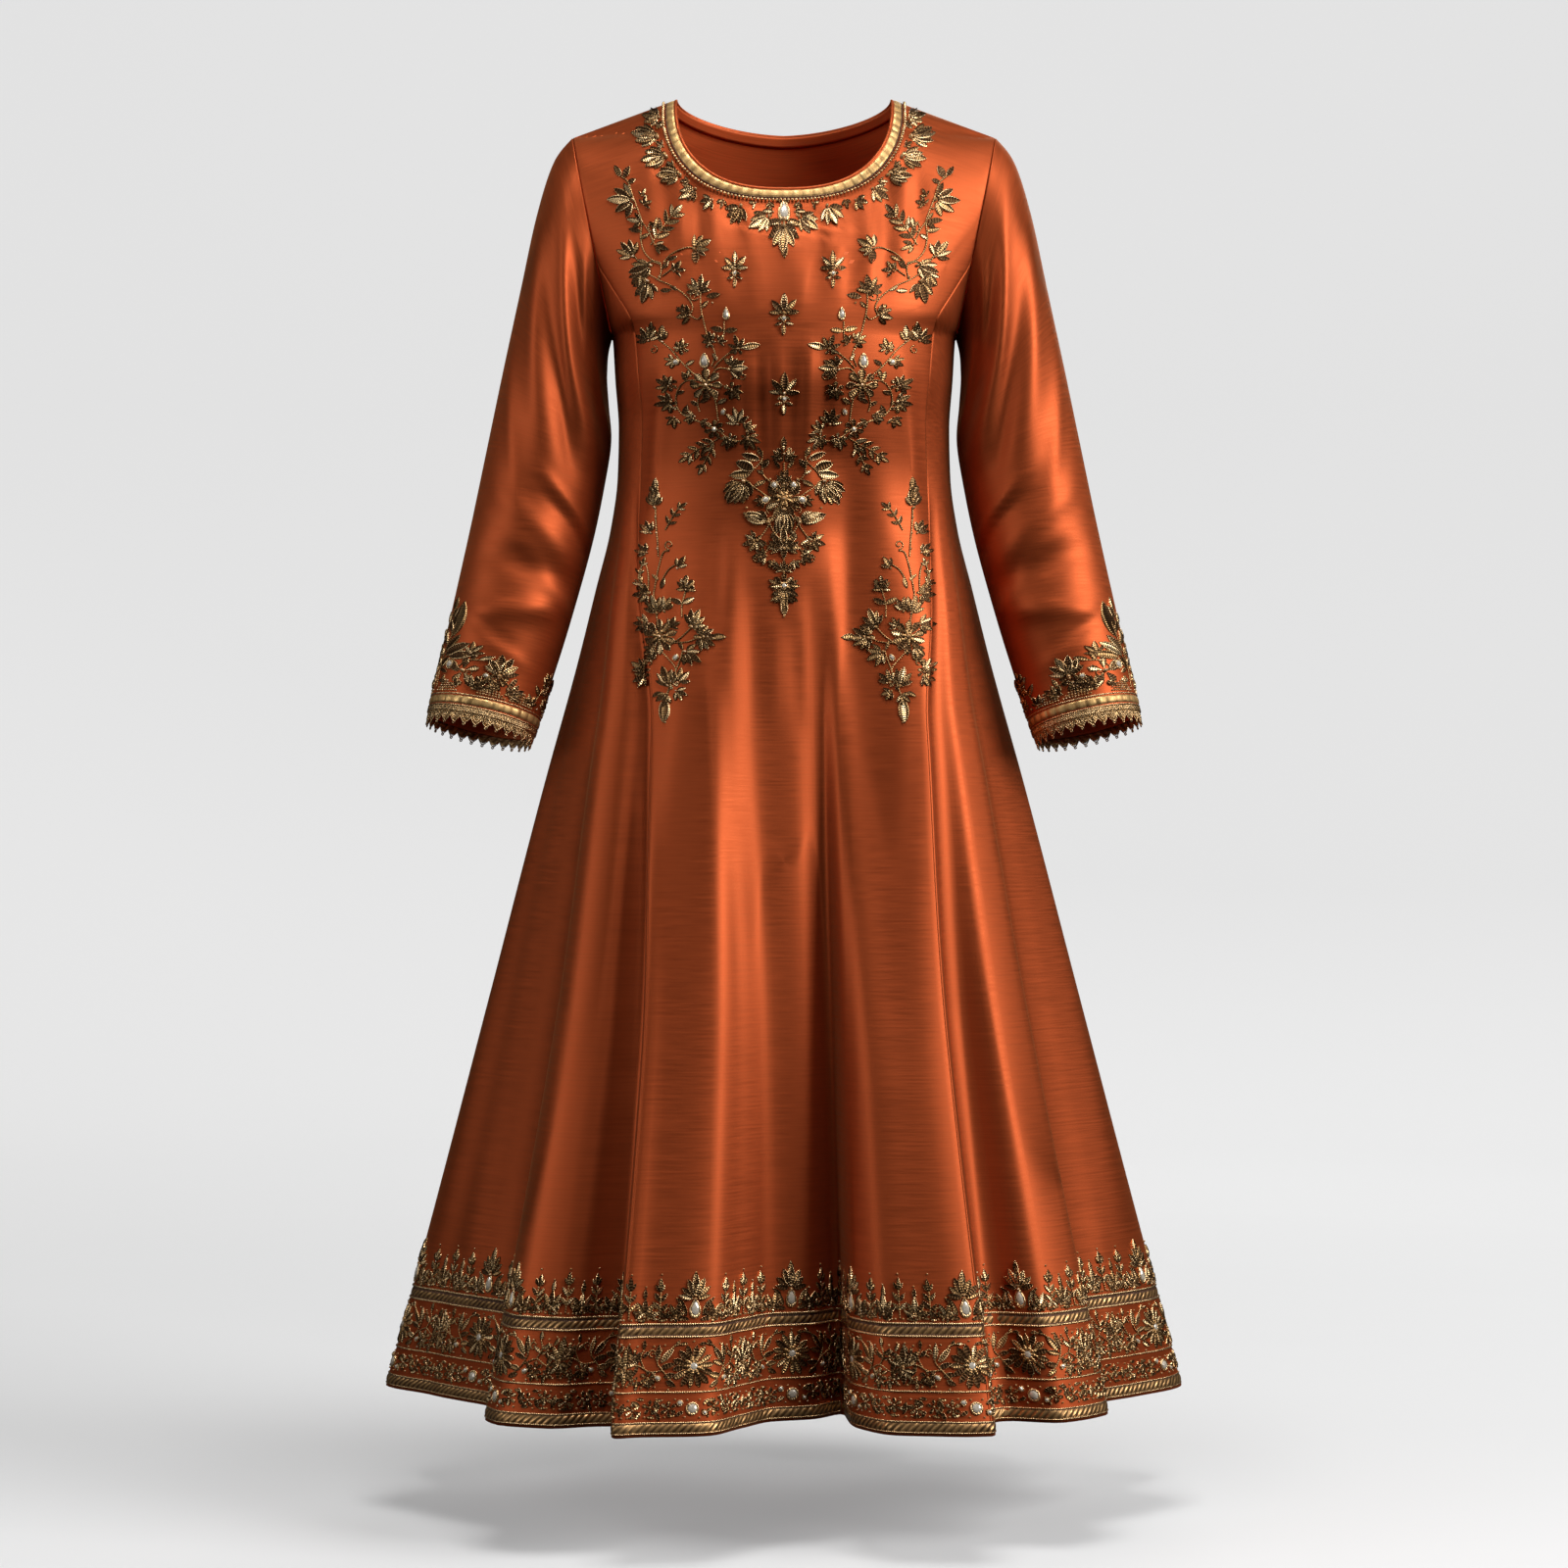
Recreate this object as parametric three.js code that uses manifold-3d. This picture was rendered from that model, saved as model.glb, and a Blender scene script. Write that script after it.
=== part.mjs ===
// A long-sleeved a-line kurti filled out with no wearer: a hollow silk dress with a round neck, a body in six
// panels that flares to a folded hem, set-in sleeves, gold trims and raised metal-thread sprays.
// Millimetres, +Z up. The front faces -Y, and "left" is the wearer's left, at +X.
// The origin is midway between the two neck points, where the shoulders carry the dress.
import * as THREE from "three";
import Module from "manifold-3d";

const wasm = await Module();
wasm.setup();

const { lerp: mix, clamp, degToRad: rad, radToDeg: deg } = THREE.MathUtils;

// Driving dimensions
const CLOTH = 1.6; // silk with its interlining
const HALF_GAP = 0.17; // each edge stands this far back from its seam
const ARMHOLE_GAP = 0.4; // a sleeve stands this far out from the armhole's plane
const BODY_LENGTH = 1138; // neck point to hem
const NECK = { halfWidth: 95, frontDrop: 90, backDrop: 23, frontSquareness: 2.5, backSquareness: 1.66 };
const NECK_BAND = { width: 11, thickness: 2.2 };
const SHOULDER_TIP = { x: 187, z: -33.5 };
const ARMPIT = { x: 152, z: -211 };
const ARMHOLE_HALF_DEPTH = 50;
const SHOULDER_ROUND = 80; // how far below the shoulder line the body reaches its full depth
const ARMHOLE_STEPS = 7; // grid rows from the shoulder tip to where a panel seam leaves the armhole
const YOKE_END = -294; // from here down every row of the body is level
const FOLD_TOP = -350; // the skirt's folds start here
const FOLD_GROWTH = 1.15;
const STEP = 1; // step of the finite differences, in millimetres or degrees
const RIDGE_STEP = 0.02; // the same step beside the shoulder line, where the cloth turns over

// Trims, each with its height above the hem or its place on the sleeve
const TRIM = { lift: 0.3, thickness: 1.1 };
const HEM_RIBBON = { low: 2, high: 12 };
const BORDER_RAIL = { low: 77.5, high: 89.5 };
const SPRAY_TOP = 130; // the border's motifs reach this high above the hem
const NECK_FACING = { width: 8.5, thickness: 1, clearance: 0.4 };
const CUFF_BAND = { from: 7.5, to: 24, lift: 0.35 }; // measured up from the cuff's edge
const CUFF_LACE = { drop: 12, tooth: 7, teeth: 30, thickness: 1 };

// The body's half sizes. bend and turn shape a section's way from centre to side seam.
const BODY = [
  { z: 0, halfWidth: 194, front: 60, back: 50, bend: 2.5, turn: 1 },
  { z: -23, halfWidth: 190, front: 64, back: 58, bend: 2.5, turn: 1 },
  { z: -90, halfWidth: 176, front: 80, back: 82, bend: 2.4, turn: 1 },
  { z: -150, halfWidth: 164, front: 105, back: 95, bend: 2.2, turn: 0.8 },
  { z: -211, halfWidth: 152, front: 121, back: 98, bend: 2, turn: 0.43 },
  { z: -250, halfWidth: 149.5, front: 124, back: 95, bend: 2, turn: 0.43 },
  { z: -294, halfWidth: 146.5, front: 116, back: 88, bend: 2, turn: 0.43 },
  { z: -335, halfWidth: 147.5, front: 111, back: 87, bend: 2, turn: 0.44 },
  { z: -381, halfWidth: 153.5, front: 112, back: 92, bend: 2, turn: 0.45 },
  { z: -433, halfWidth: 166, front: 119, back: 104, bend: 2, turn: 0.46 },
  { z: -503, halfWidth: 183, front: 130, back: 118, bend: 2, turn: 0.47 },
  { z: -607, halfWidth: 211, front: 148, back: 138, bend: 2, turn: 0.48 },
  { z: -781, halfWidth: 255, front: 178, back: 170, bend: 2, turn: 0.5 },
  { z: -955, halfWidth: 299, front: 208, back: 203, bend: 2, turn: 0.5 },
  { z: -BODY_LENGTH, halfWidth: 346, front: 240, back: 236, bend: 2, turn: 0.5 },
];

// Panel seams, in degrees from centre front, and from centre back for the two back seams
const SLEEVE_SIDES = 24;
const armholeZ = (turn) => mix(SHOULDER_TIP.z, ARMPIT.z, (1 - Math.cos(rad(turn))) / 2);
const SEAM_TURN = (360 * ARMHOLE_STEPS) / SLEEVE_SIDES; // degrees round the armhole from the shoulder tip
const SEAM_TOP = armholeZ(SEAM_TURN);
const SEAMS = [
  { z: SEAM_TOP, right: 90, left: 90, back: 90 },
  { z: -170, right: 72, left: 72, back: 68 },
  { z: -211, right: 59, left: 59, back: 53 },
  { z: -260, right: 58, left: 58, back: 48 },
  { z: -335, right: 59, left: 59, back: 46 },
  { z: -433, right: 47, left: 47, back: 41 },
  { z: -557, right: 33, left: 34, back: 36 },
  { z: -830, right: 21, left: 26, back: 32 },
  { z: -BODY_LENGTH, right: 17.5, left: 23.3, back: 30 },
];

// Ridges and hollows of the skirt at the hem, a row for each, in the lanes of the cloth from centre front
// round by the wearer's left. rise is outwards and lean is along the hem, so a ridge can roll over the hollow
// beside it.
const FOLDS = [
  { lane: -180, rise: -32, lean: -1 },
  { lane: -160, rise: 42, lean: 5 },
  { lane: -144, rise: -22, lean: -4 },
  { lane: -121, rise: 38, lean: 6 },
  { lane: -104, rise: -22, lean: -3 },
  { lane: -86, rise: 7, lean: -3 },
  { lane: -72, rise: -22, lean: 3 },
  { lane: -57, rise: -29, lean: 7 },
  { lane: -51, rise: -23, lean: 7 },
  { lane: -39.5, rise: 38, lean: -4 },
  { lane: -35, rise: 50, lean: -5 },
  { lane: -29, rise: 46, lean: -3 },
  { lane: -25.2, rise: 24, lean: 0 },
  { lane: -22.3, rise: 17, lean: 1 },
  { lane: -17.5, rise: 75, lean: -11 },
  { lane: -15.3, rise: 66, lean: -11 },
  { lane: -8.5, rise: 47, lean: -2 },
  { lane: -5, rise: 10, lean: -5 },
  { lane: -1.5, rise: -25, lean: -4 },
  { lane: 4, rise: -39, lean: 4 },
  { lane: 8, rise: -62, lean: 9 },
  { lane: 11.5, rise: 10, lean: -10 },
  { lane: 14, rise: 44, lean: -11 },
  { lane: 17, rise: 60, lean: 1 },
  { lane: 21, rise: 72, lean: 7 },
  { lane: 23.3, rise: 73, lean: 4 },
  { lane: 28, rise: 13, lean: 2 },
  { lane: 30.5, rise: 8, lean: 5 },
  { lane: 37, rise: 36, lean: 3 },
  { lane: 46, rise: 25, lean: 4 },
  { lane: 57, rise: -25, lean: 4 },
  { lane: 69, rise: -18, lean: 0 },
  { lane: 86, rise: 6, lean: 3 },
  { lane: 100, rise: -24, lean: 3 },
  { lane: 118, rise: 36, lean: -6 },
  { lane: 133, rise: -24, lean: 4 },
  { lane: 150, rise: 46, lean: -6 },
  { lane: 172, rise: -34, lean: 0 },
  { lane: 180, rise: -32, lean: -1 },
];

// Rings of the left sleeve, from armhole to cuff: the points at the arm's outer and inner side, how far
// forward the ring lies, half its depth, and how far its front is tipped up as the forearm comes forward
const SLEEVE_RINGS = [
  { outX: 187, outZ: -33.5, inX: 152, inZ: -211, forward: 0, depth: 50, tip: 0 },
  { outX: 204, outZ: -56, inX: 155.5, inZ: -225, forward: 0, depth: 55, tip: 0 },
  { outX: 219, outZ: -103, inX: 156.5, inZ: -244, forward: 0, depth: 58, tip: 0 },
  { outX: 234, outZ: -172, inX: 155, inZ: -272, forward: 0, depth: 60, tip: 0 },
  { outX: 249, outZ: -242, inX: 153, inZ: -303, forward: 2, depth: 60, tip: 1 },
  { outX: 263, outZ: -311, inX: 158.5, inZ: -341, forward: 6, depth: 59, tip: 3 },
  { outX: 277, outZ: -381, inX: 169.5, inZ: -395, forward: 13, depth: 56, tip: 6 },
  { outX: 291.5, outZ: -451, inX: 188, inZ: -464, forward: 26, depth: 51, tip: 9 },
  { outX: 302, outZ: -500, inX: 204, inZ: -517, forward: 36, depth: 47, tip: 11 },
  { outX: 311.5, outZ: -545, inX: 218.5, inZ: -565, forward: 46, depth: 43, tip: 11.5 },
];

// Soft ridges and hollows of a sleeve: from and to are the share of its length and the degrees round it,
// where 0 is the arm's outer side and 90 its front
const SLEEVE_FOLDS = [
  { fromS: 0.08, fromA: 60, toS: 0.55, toA: 138, rise: 4.5, width: 11 },
  { fromS: 0.1, fromA: 88, toS: 0.5, toA: 160, rise: -4.5, width: 11 },
  { fromS: 0.2, fromA: 30, toS: 0.62, toA: 105, rise: 4, width: 12 },
  { fromS: 0.24, fromA: 58, toS: 0.6, toA: 130, rise: -4, width: 11 },
  { fromS: 0.6, fromA: 35, toS: 0.72, toA: 150, rise: 3.5, width: 10 },
  { fromS: 0.7, fromA: 40, toS: 0.74, toA: 165, rise: -4, width: 9 },
  { fromS: 0.8, fromA: 45, toS: 0.77, toA: 160, rise: 3.5, width: 10 },
  { fromS: 0.15, fromA: 210, toS: 0.6, toA: 280, rise: 4, width: 14 },
  { fromS: 0.2, fromA: 185, toS: 0.65, toA: 250, rise: -4, width: 13 },
  { fromS: 0.66, fromA: 195, toS: 0.7, toA: 320, rise: -4, width: 11 },
];

// Raised metal-thread motifs of the wearer's left side, which the other side mirrors: a base point in the
// front view, a size in millimetres and, for a leaf, its turn from upright towards the arm
const VINE = [
  { kind: "leaf", x: 137.5, z: -92.5, size: 16, turn: 150 },
  { kind: "bloom", x: 136.6, z: -103.5, size: 10, turn: 0 },
  { kind: "leaf", x: 126.5, z: -126.2, size: 17, turn: -35 },
  { kind: "leaf", x: 124.8, z: -149.9, size: 14, turn: 70 },
  { kind: "leaf", x: 121.5, z: -170.1, size: 15, turn: 170 },
  { kind: "leaf", x: 86.9, z: -158.3, size: 14, turn: -50 },
  { kind: "bloom", x: 70.8, z: -190.3, size: 10, turn: 0 },
  { kind: "bloom", x: 49.8, z: -202.1, size: 8, turn: 0 },
  { kind: "bloom", x: 111.3, z: -224.1, size: 9, turn: 0 },
  { kind: "leaf", x: 92.8, z: -237.6, size: 13, turn: 20 },
  { kind: "bloom", x: 68.3, z: -259.5, size: 15, turn: 0 },
  { kind: "leaf", x: 64.1, z: -269.6, size: 24, turn: -110 },
  { kind: "leaf", x: 64.1, z: -256.1, size: 22, turn: -55 },
  { kind: "leaf", x: 81.8, z: -267.9, size: 16, turn: 100 },
  { kind: "bloom", x: 60.7, z: -300.8, size: 13, turn: 0 },
  { kind: "leaf", x: 55.7, z: -298.3, size: 22, turn: -75 },
  { kind: "leaf", x: 57.4, z: -306.7, size: 20, turn: -130 },
  { kind: "leaf", x: 65.8, z: -318.5, size: 20, turn: 115 },
  { kind: "leaf", x: 68.3, z: -321.9, size: 18, turn: 175 },
];
const VINE_STEMS = [
  [
    [137.5, -92.5], [136.6, -109.4], [124.8, -131.3], [102.9, -171.8], [70.8, -192], [68.3, -259.5],
    [60.7, -300.8], [68.3, -323.6],
  ],
  [[124.8, -131.3], [124.8, -153.2], [121.5, -171.8]],
  [[102.9, -171.8], [86.9, -158.3]],
  [[67.5, -223.2], [49.8, -202.1]],
  [[111.3, -224.1], [68.3, -252.8]],
  [[60.7, -300.8], [81.8, -267.9]],
];
const HIP_SPRAY = [
  { kind: "bloom", x: 109.7, z: -362.4, size: 9, turn: 0 },
  { kind: "leaf", x: 109.7, z: -359.1, size: 14, turn: 0 },
  { kind: "leaf", x: 108.1, z: -389.2, size: 13, turn: 60 },
  { kind: "leaf", x: 107.2, z: -393.4, size: 16, turn: -45 },
  { kind: "leaf", x: 105.5, z: -432.8, size: 12, turn: 60 },
  { kind: "bloom", x: 83.8, z: -444.5, size: 9, turn: 0 },
  { kind: "bloom", x: 100.5, z: -476.3, size: 13, turn: 0 },
  { kind: "bloom", x: 68.7, z: -481.4, size: 10, turn: 0 },
  { kind: "leaf", x: 97.2, z: -481.4, size: 20, turn: -125 },
  { kind: "leaf", x: 100.5, z: -506.5, size: 12, turn: 100 },
  { kind: "leaf", x: 98.8, z: -514.9, size: 18, turn: -130 },
  { kind: "leaf", x: 98.8, z: -528.3, size: 24, turn: 180 },
];
const HIP_STEMS = [
  [[109.7, -362.4], [106.4, -439.5], [100.5, -476.3], [98.8, -531.6]],
  [[105.5, -432.8], [83.8, -444.5]],
  [[100.5, -476.3], [68.7, -481.4]],
];
const PENDANT_SIDE = [
  { kind: "leaf", x: 35.3, z: -333.1, size: 20, turn: 5 },
  { kind: "leaf", x: 20.2, z: -355, size: 30, turn: 75 },
  { kind: "leaf", x: 2.5, z: -373.4, size: 24, turn: 100 },
  { kind: "bloom", x: 23.5, z: -399.5, size: 11, turn: 0 },
];
const PENDANT_MIDDLE = [
  { kind: "bloom", x: 0, z: -331.4, size: 9, turn: 0 },
  { kind: "bloom", x: 0, z: -361.7, size: 15, turn: 0 },
  { kind: "bloom", x: 0, z: -432.2, size: 13, turn: 0 },
  { kind: "leaf", x: 0, z: -440.6, size: 22, turn: 180 },
];
const PENDANT_STEMS = [
  [[0, -331.4], [0, -432.2]],
  [[35.3, -333.1], [20.2, -355], [0, -361.7]],
  [[0, -378.5], [23.5, -399.5], [0, -428.9]],
];
const BUTIS = [
  { name: "top_right", x: -44, z: -160, size: 0.85 },
  { name: "top_left", x: 44, z: -160, size: 0.85 },
  { name: "middle", x: 0, z: -198, size: 1 },
  { name: "low", x: 0, z: -269, size: 1 },
];
const BUTI_LEAVES = [
  { kind: "leaf", x: 0, z: 0, size: 18, turn: 0 },
  { kind: "leaf", x: 0, z: 0, size: 15, turn: 62 },
  { kind: "leaf", x: 0, z: 0, size: 14, turn: 122 },
  { kind: "leaf", x: 0, z: 0, size: 22, turn: 180 },
];
const MOTIF = { lift: 0.8, thickness: 1.3, stem: 2, longestEdge: 22 };

// Reads one column of a table at a place given by its first column, with a smooth curve without overshoot.
function read(table, key, at) {
  const by = Object.keys(table[0])[0];
  const last = table.length - 1;
  const ahead = Math.sign(table[last][by] - table[0][by]);
  if ((at - table[0][by]) * ahead <= 0) return table[0][key];
  if ((at - table[last][by]) * ahead >= 0) return table[last][key];
  const i = table.findIndex((row) => (row[by] - at) * ahead > 0) - 1;
  const slope = (j) => (table[j + 1][key] - table[j][key]) / (table[j + 1][by] - table[j][by]);
  const tangent = (j) => {
    if (j === 0 || j === last) return slope(Math.min(j, last - 1));
    const [a, b] = [slope(j - 1), slope(j)];
    return a * b <= 0 ? 0 : (2 * a * b) / (a + b);
  };
  const step = table[i + 1][by] - table[i][by];
  const t = (at - table[i][by]) / step;
  return hermite(table[i][key], table[i + 1][key], tangent(i) * step, tangent(i + 1) * step, t);
}

function hermite(from, to, leave, arrive, t) {
  const ease = t * t * (3 - 2 * t);
  return mix(from, to, ease) + t * (1 - t) * ((1 - t) * leave - t * arrive);
}

// The armhole is a flat oval whose top is the shoulder tip and whose foot is the armpit.
const armholeX = (z) => mix(SHOULDER_TIP.x, ARMPIT.x, (z - SHOULDER_TIP.z) / (ARMPIT.z - SHOULDER_TIP.z));
function armholeDepth(z) {
  const middle = (SHOULDER_TIP.z + ARMPIT.z) / 2;
  const half = (SHOULDER_TIP.z - ARMPIT.z) / 2;
  return ARMHOLE_HALF_DEPTH * Math.sqrt(Math.max(0, 1 - ((z - middle) / half) ** 2));
}

const halfWidth = (z) => (z > ARMPIT.z ? armholeX(z) : read(BODY, "halfWidth", z));

// The shoulder line's height, and its run on to a point over the neck
const shoulderZ = (x) =>
  (SHOULDER_TIP.z * (Math.abs(x) - NECK.halfWidth)) / (SHOULDER_TIP.x - NECK.halfWidth);

// A point of the body before its folds, at an angle from centre front
function torso(angle, z, isFront) {
  const across = Math.sin(rad(angle));
  const x = halfWidth(z) * across;
  const below = clamp((shoulderZ(x) - z) / SHOULDER_ROUND, 0, 1);
  const depth = read(BODY, isFront ? "front" : "back", z) * Math.sqrt(below * (2 - below));
  const edge = armholeDepth(z);
  const share = Math.max(0, 1 - Math.abs(across) ** read(BODY, "bend", z)) ** read(BODY, "turn", z);
  const y = edge + (depth - edge) * share;
  return new THREE.Vector3(x, isFront ? -y : y, z);
}

// The angle at height z of a lane of cloth, which is named by its angle at the hem
const HEM = SEAMS[SEAMS.length - 1];
const HEM_STOPS = [-180, HEM.back - 180, -90, -HEM.right, HEM.left, 90, 180 - HEM.back, 180];
function laneAngle(lane, z) {
  const [right, left, back] = ["right", "left", "back"].map((key) => read(SEAMS, key, z));
  const stops = [-180, back - 180, -90, -right, left, 90, 180 - back, 180];
  const next = HEM_STOPS.findIndex((stop) => lane < stop);
  const i = next < 0 ? stops.length - 1 : Math.max(1, next);
  return mix(stops[i - 1], stops[i], (lane - HEM_STOPS[i - 1]) / (HEM_STOPS[i] - HEM_STOPS[i - 1]));
}
const wrapLane = (lane) => (lane > 180 ? lane - 360 : lane < -180 ? lane + 360 : lane);

const flare = (z) => clamp((FOLD_TOP - z) / (FOLD_TOP + BODY_LENGTH), 0, 1) ** FOLD_GROWTH;

// A point of the body's outer face, on a lane of cloth at height z
function bodyPoint(anyLane, z, isFront = Math.abs(wrapLane(anyLane)) <= 90) {
  const lane = wrapLane(anyLane);
  const angle = laneAngle(lane, z);
  const point = torso(angle, z, isFront);
  const [rise, lean] = ["rise", "lean"].map((key) => read(FOLDS, key, lane));
  const [sin, cos] = [Math.sin(rad(angle)), Math.cos(rad(angle))];
  point.x += flare(z) * (rise * sin + lean * cos);
  point.y += flare(z) * (lean * sin - rise * cos);
  return point;
}

// The outward direction of a surface given as a function of two numbers
function outward(surface, a, b, stepA, stepB) {
  const alongA = surface(a + stepA, b).sub(surface(a - stepA, b));
  const alongB = surface(a, b + stepB).sub(surface(a, b - stepB));
  return alongA.cross(alongB).normalize();
}
const bodyOut = (lane, z) => outward(bodyPoint, lane, z, STEP / 4, STEP);

// A point of the yoke. angle runs from -90 at one armhole to 90 at the other, on the front and on the back.
const yokePoint = (angle, z, isFront) => torso(isFront ? angle : 180 - angle, z, isFront);

// The outward direction on the yoke, looking only down from the shoulder line
function yokeOut(angle, z, isFront) {
  const inner = clamp(angle, -90 + STEP, 90 - STEP);
  const across = yokePoint(inner + STEP, z, isFront).sub(yokePoint(inner - STEP, z, isFront));
  const here = yokePoint(angle, z, isFront);
  const step = shoulderZ(here.x) - z < STEP ? RIDGE_STEP : STEP;
  const up = here.sub(yokePoint(angle, z - step, isFront));
  return (isFront ? across.cross(up) : up.cross(across)).normalize();
}

// The armhole's plane faces the sleeve. A direction that leans over the plane is laid down into it.
const armholePlane = (side) =>
  new THREE.Vector3(side * (SHOULDER_TIP.z - ARMPIT.z), 0, ARMPIT.x - SHOULDER_TIP.x).normalize();
function layInPlane(out, side, always = false) {
  const normal = armholePlane(side);
  const lean = out.dot(normal);
  return lean < 0 || always ? out.clone().addScaledVector(normal, -lean).normalize() : out;
}

// One grid row of a piece: its outer points and their outward directions
const rowOf = (points, outs) => ({ points, outs });

// Moves a grid's edges back from their seams by half a gap.
function standBack(grid, { sides = true, top = () => false, bottom = () => false }) {
  const old = grid.map((row) => row.points.map((p) => p.clone()));
  const pull = (r, c, towardR, towardC) => {
    const step = old[towardR][towardC].clone().sub(old[r][c]).setLength(HALF_GAP);
    grid[r].points[c].add(step);
  };
  const [lastR, lastC] = [grid.length - 1, old[0].length - 1];
  if (sides) {
    old.forEach((row, r) => {
      pull(r, 0, r, 1);
      pull(r, lastC, r, lastC - 1);
    });
  }
  old[0].forEach((p, c) => top(c) && pull(0, c, 1, c));
  old[lastR].forEach((p, c) => bottom(c) && pull(lastR, c, lastR - 1, c));
  return grid;
}

// Closes an outer and an inner grid of points into one body. A loop joins its last column to its first.
function shell(outer, inner, loop = false) {
  const [rows, cols] = [outer.length, outer[0].length];
  const at = (r, c, layer) => layer * rows * cols + r * cols + (c % cols);
  const faces = [];
  const quad = (a, b, c, d) => faces.push(a, b, c, a, c, d);
  const spans = loop ? cols : cols - 1;
  for (let c = 0; c < spans; c++) {
    for (let r = 0; r < rows - 1; r++) {
      quad(at(r, c, 0), at(r + 1, c, 0), at(r + 1, c + 1, 0), at(r, c + 1, 0));
      quad(at(r, c, 1), at(r, c + 1, 1), at(r + 1, c + 1, 1), at(r + 1, c, 1));
    }
    quad(at(0, c, 0), at(0, c + 1, 0), at(0, c + 1, 1), at(0, c, 1));
    quad(at(rows - 1, c, 0), at(rows - 1, c, 1), at(rows - 1, c + 1, 1), at(rows - 1, c + 1, 0));
  }
  for (let r = 0; !loop && r < rows - 1; r++) {
    quad(at(r, 0, 0), at(r, 0, 1), at(r + 1, 0, 1), at(r + 1, 0, 0));
    quad(at(r, cols - 1, 0), at(r + 1, cols - 1, 0), at(r + 1, cols - 1, 1), at(r, cols - 1, 1));
  }
  const positions = [...outer.flat(), ...inner.flat()].flatMap((p) => p.toArray());
  const geometry = new THREE.BufferGeometry();
  geometry.setAttribute("position", new THREE.Float32BufferAttribute(positions, 3));
  geometry.setIndex(volume(positions, faces) < 0 ? faces.reverse() : faces);
  return geometry;
}

function volume(positions, faces) {
  const corner = (i) => new THREE.Vector3().fromArray(positions, 3 * i);
  let sum = 0;
  for (let i = 0; i < faces.length; i += 3) {
    sum += corner(faces[i]).dot(corner(faces[i + 1]).cross(corner(faces[i + 2]))) / 6;
  }
  return sum;
}

// A grid turned into a wall whose outer face is moved out by `lift`
function wall(grid, thickness = CLOTH, lift = 0, loop = false) {
  const moved = (by) =>
    grid.map((row) => row.points.map((p, c) => p.clone().addScaledVector(row.outs[c], by)));
  return shell(moved(lift), moved(lift - thickness), loop);
}

const MATERIALS = {
  silk: new THREE.MeshStandardMaterial({ color: 0xb04a22, roughness: 0.45, metalness: 0 }),
  gold: new THREE.MeshStandardMaterial({ color: 0xb08d4f, roughness: 0.4, metalness: 0.8 }),
  zari: new THREE.MeshStandardMaterial({ color: 0x8a6a3c, roughness: 0.45, metalness: 0.7 }),
};

const kurti = new THREE.Group();
function add(name, geometry, material) {
  const mesh = new THREE.Mesh(geometry, MATERIALS[material]);
  mesh.name = name;
  kurti.add(mesh);
  return mesh;
}

// Splits a stretch of lanes so that the columns stand evenly along the hem.
function lanesBetween(from, to, segments) {
  const samples = 40 * segments;
  const lanes = Array.from({ length: samples + 1 }, (_, i) => mix(from, to, i / samples));
  const lengths = [0];
  lanes.slice(1).forEach((lane, i) => {
    const step = bodyPoint(lane, -BODY_LENGTH).distanceTo(bodyPoint(lanes[i], -BODY_LENGTH));
    lengths.push(lengths[i] + step);
  });
  return Array.from({ length: segments + 1 }, (_, k) =>
    lanes[lengths.findIndex((length) => length >= (lengths[samples] * k) / segments - STEP / samples)],
  );
}

// Heights of the level rows, shared by all panels so that their seams and trims lie edge to edge
const aboveHem = (height) => height - BODY_LENGTH;
const SEAM_ROWS = [SEAM_TOP, -178, -211, -250, YOKE_END];
const SIDE_ROWS = [ARMPIT.z, -229, -248, -270, YOKE_END];
const SIDE_SPREAD = [0, 0.35, 0.62, 0.84, 1]; // how far each side-panel row has left the armhole
const SKIRT_ROWS = [
  -335, -381, -440, -520, -620, -740, -870, aboveHem(SPRAY_TOP),
  aboveHem(BORDER_RAIL.high), aboveHem(BORDER_RAIL.low), aboveHem(HEM_RIBBON.high), -BODY_LENGTH,
];

const SHOULDER_SEGMENTS = 4;
const PANEL_LANES = {
  front_centre: lanesBetween(-HEM.right, HEM.left, 24),
  front_side_left: lanesBetween(HEM.left, 90, 15),
  back_side_left: lanesBetween(90, 180 - HEM.back, 13),
  back_centre: lanesBetween(180 - HEM.back, 180 + HEM.back, 18),
  back_side_right: lanesBetween(HEM.back - 180, -90, 13),
  front_side_right: lanesBetween(-90, -HEM.right, 15),
};

const levelRow = (lanes, z) =>
  rowOf(
    lanes.map((lane) => bodyPoint(lane, z)),
    lanes.map((lane) => bodyOut(lane, z)),
  );

// The neckline in the front view, moved out by a distance. turn runs from -90 at one neck point to 90 at the
// other.
function neckline(turn, isFront, distance) {
  const power = 2 / (isFront ? NECK.frontSquareness : NECK.backSquareness);
  const across = Math.sign(turn) * Math.abs(Math.sin(rad(turn))) ** power;
  const down = Math.abs(Math.cos(rad(turn))) ** power;
  const drop = (isFront ? NECK.frontDrop : NECK.backDrop) + distance;
  const halfNeck = NECK.halfWidth + distance;
  return { x: halfNeck * across, z: mix(shoulderZ(halfNeck), -drop, down) };
}

// The angle on the yoke of a place in the front view
const yokeAngle = (x, z) => deg(Math.asin(clamp(x / halfWidth(z), -1, 1)));

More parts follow.
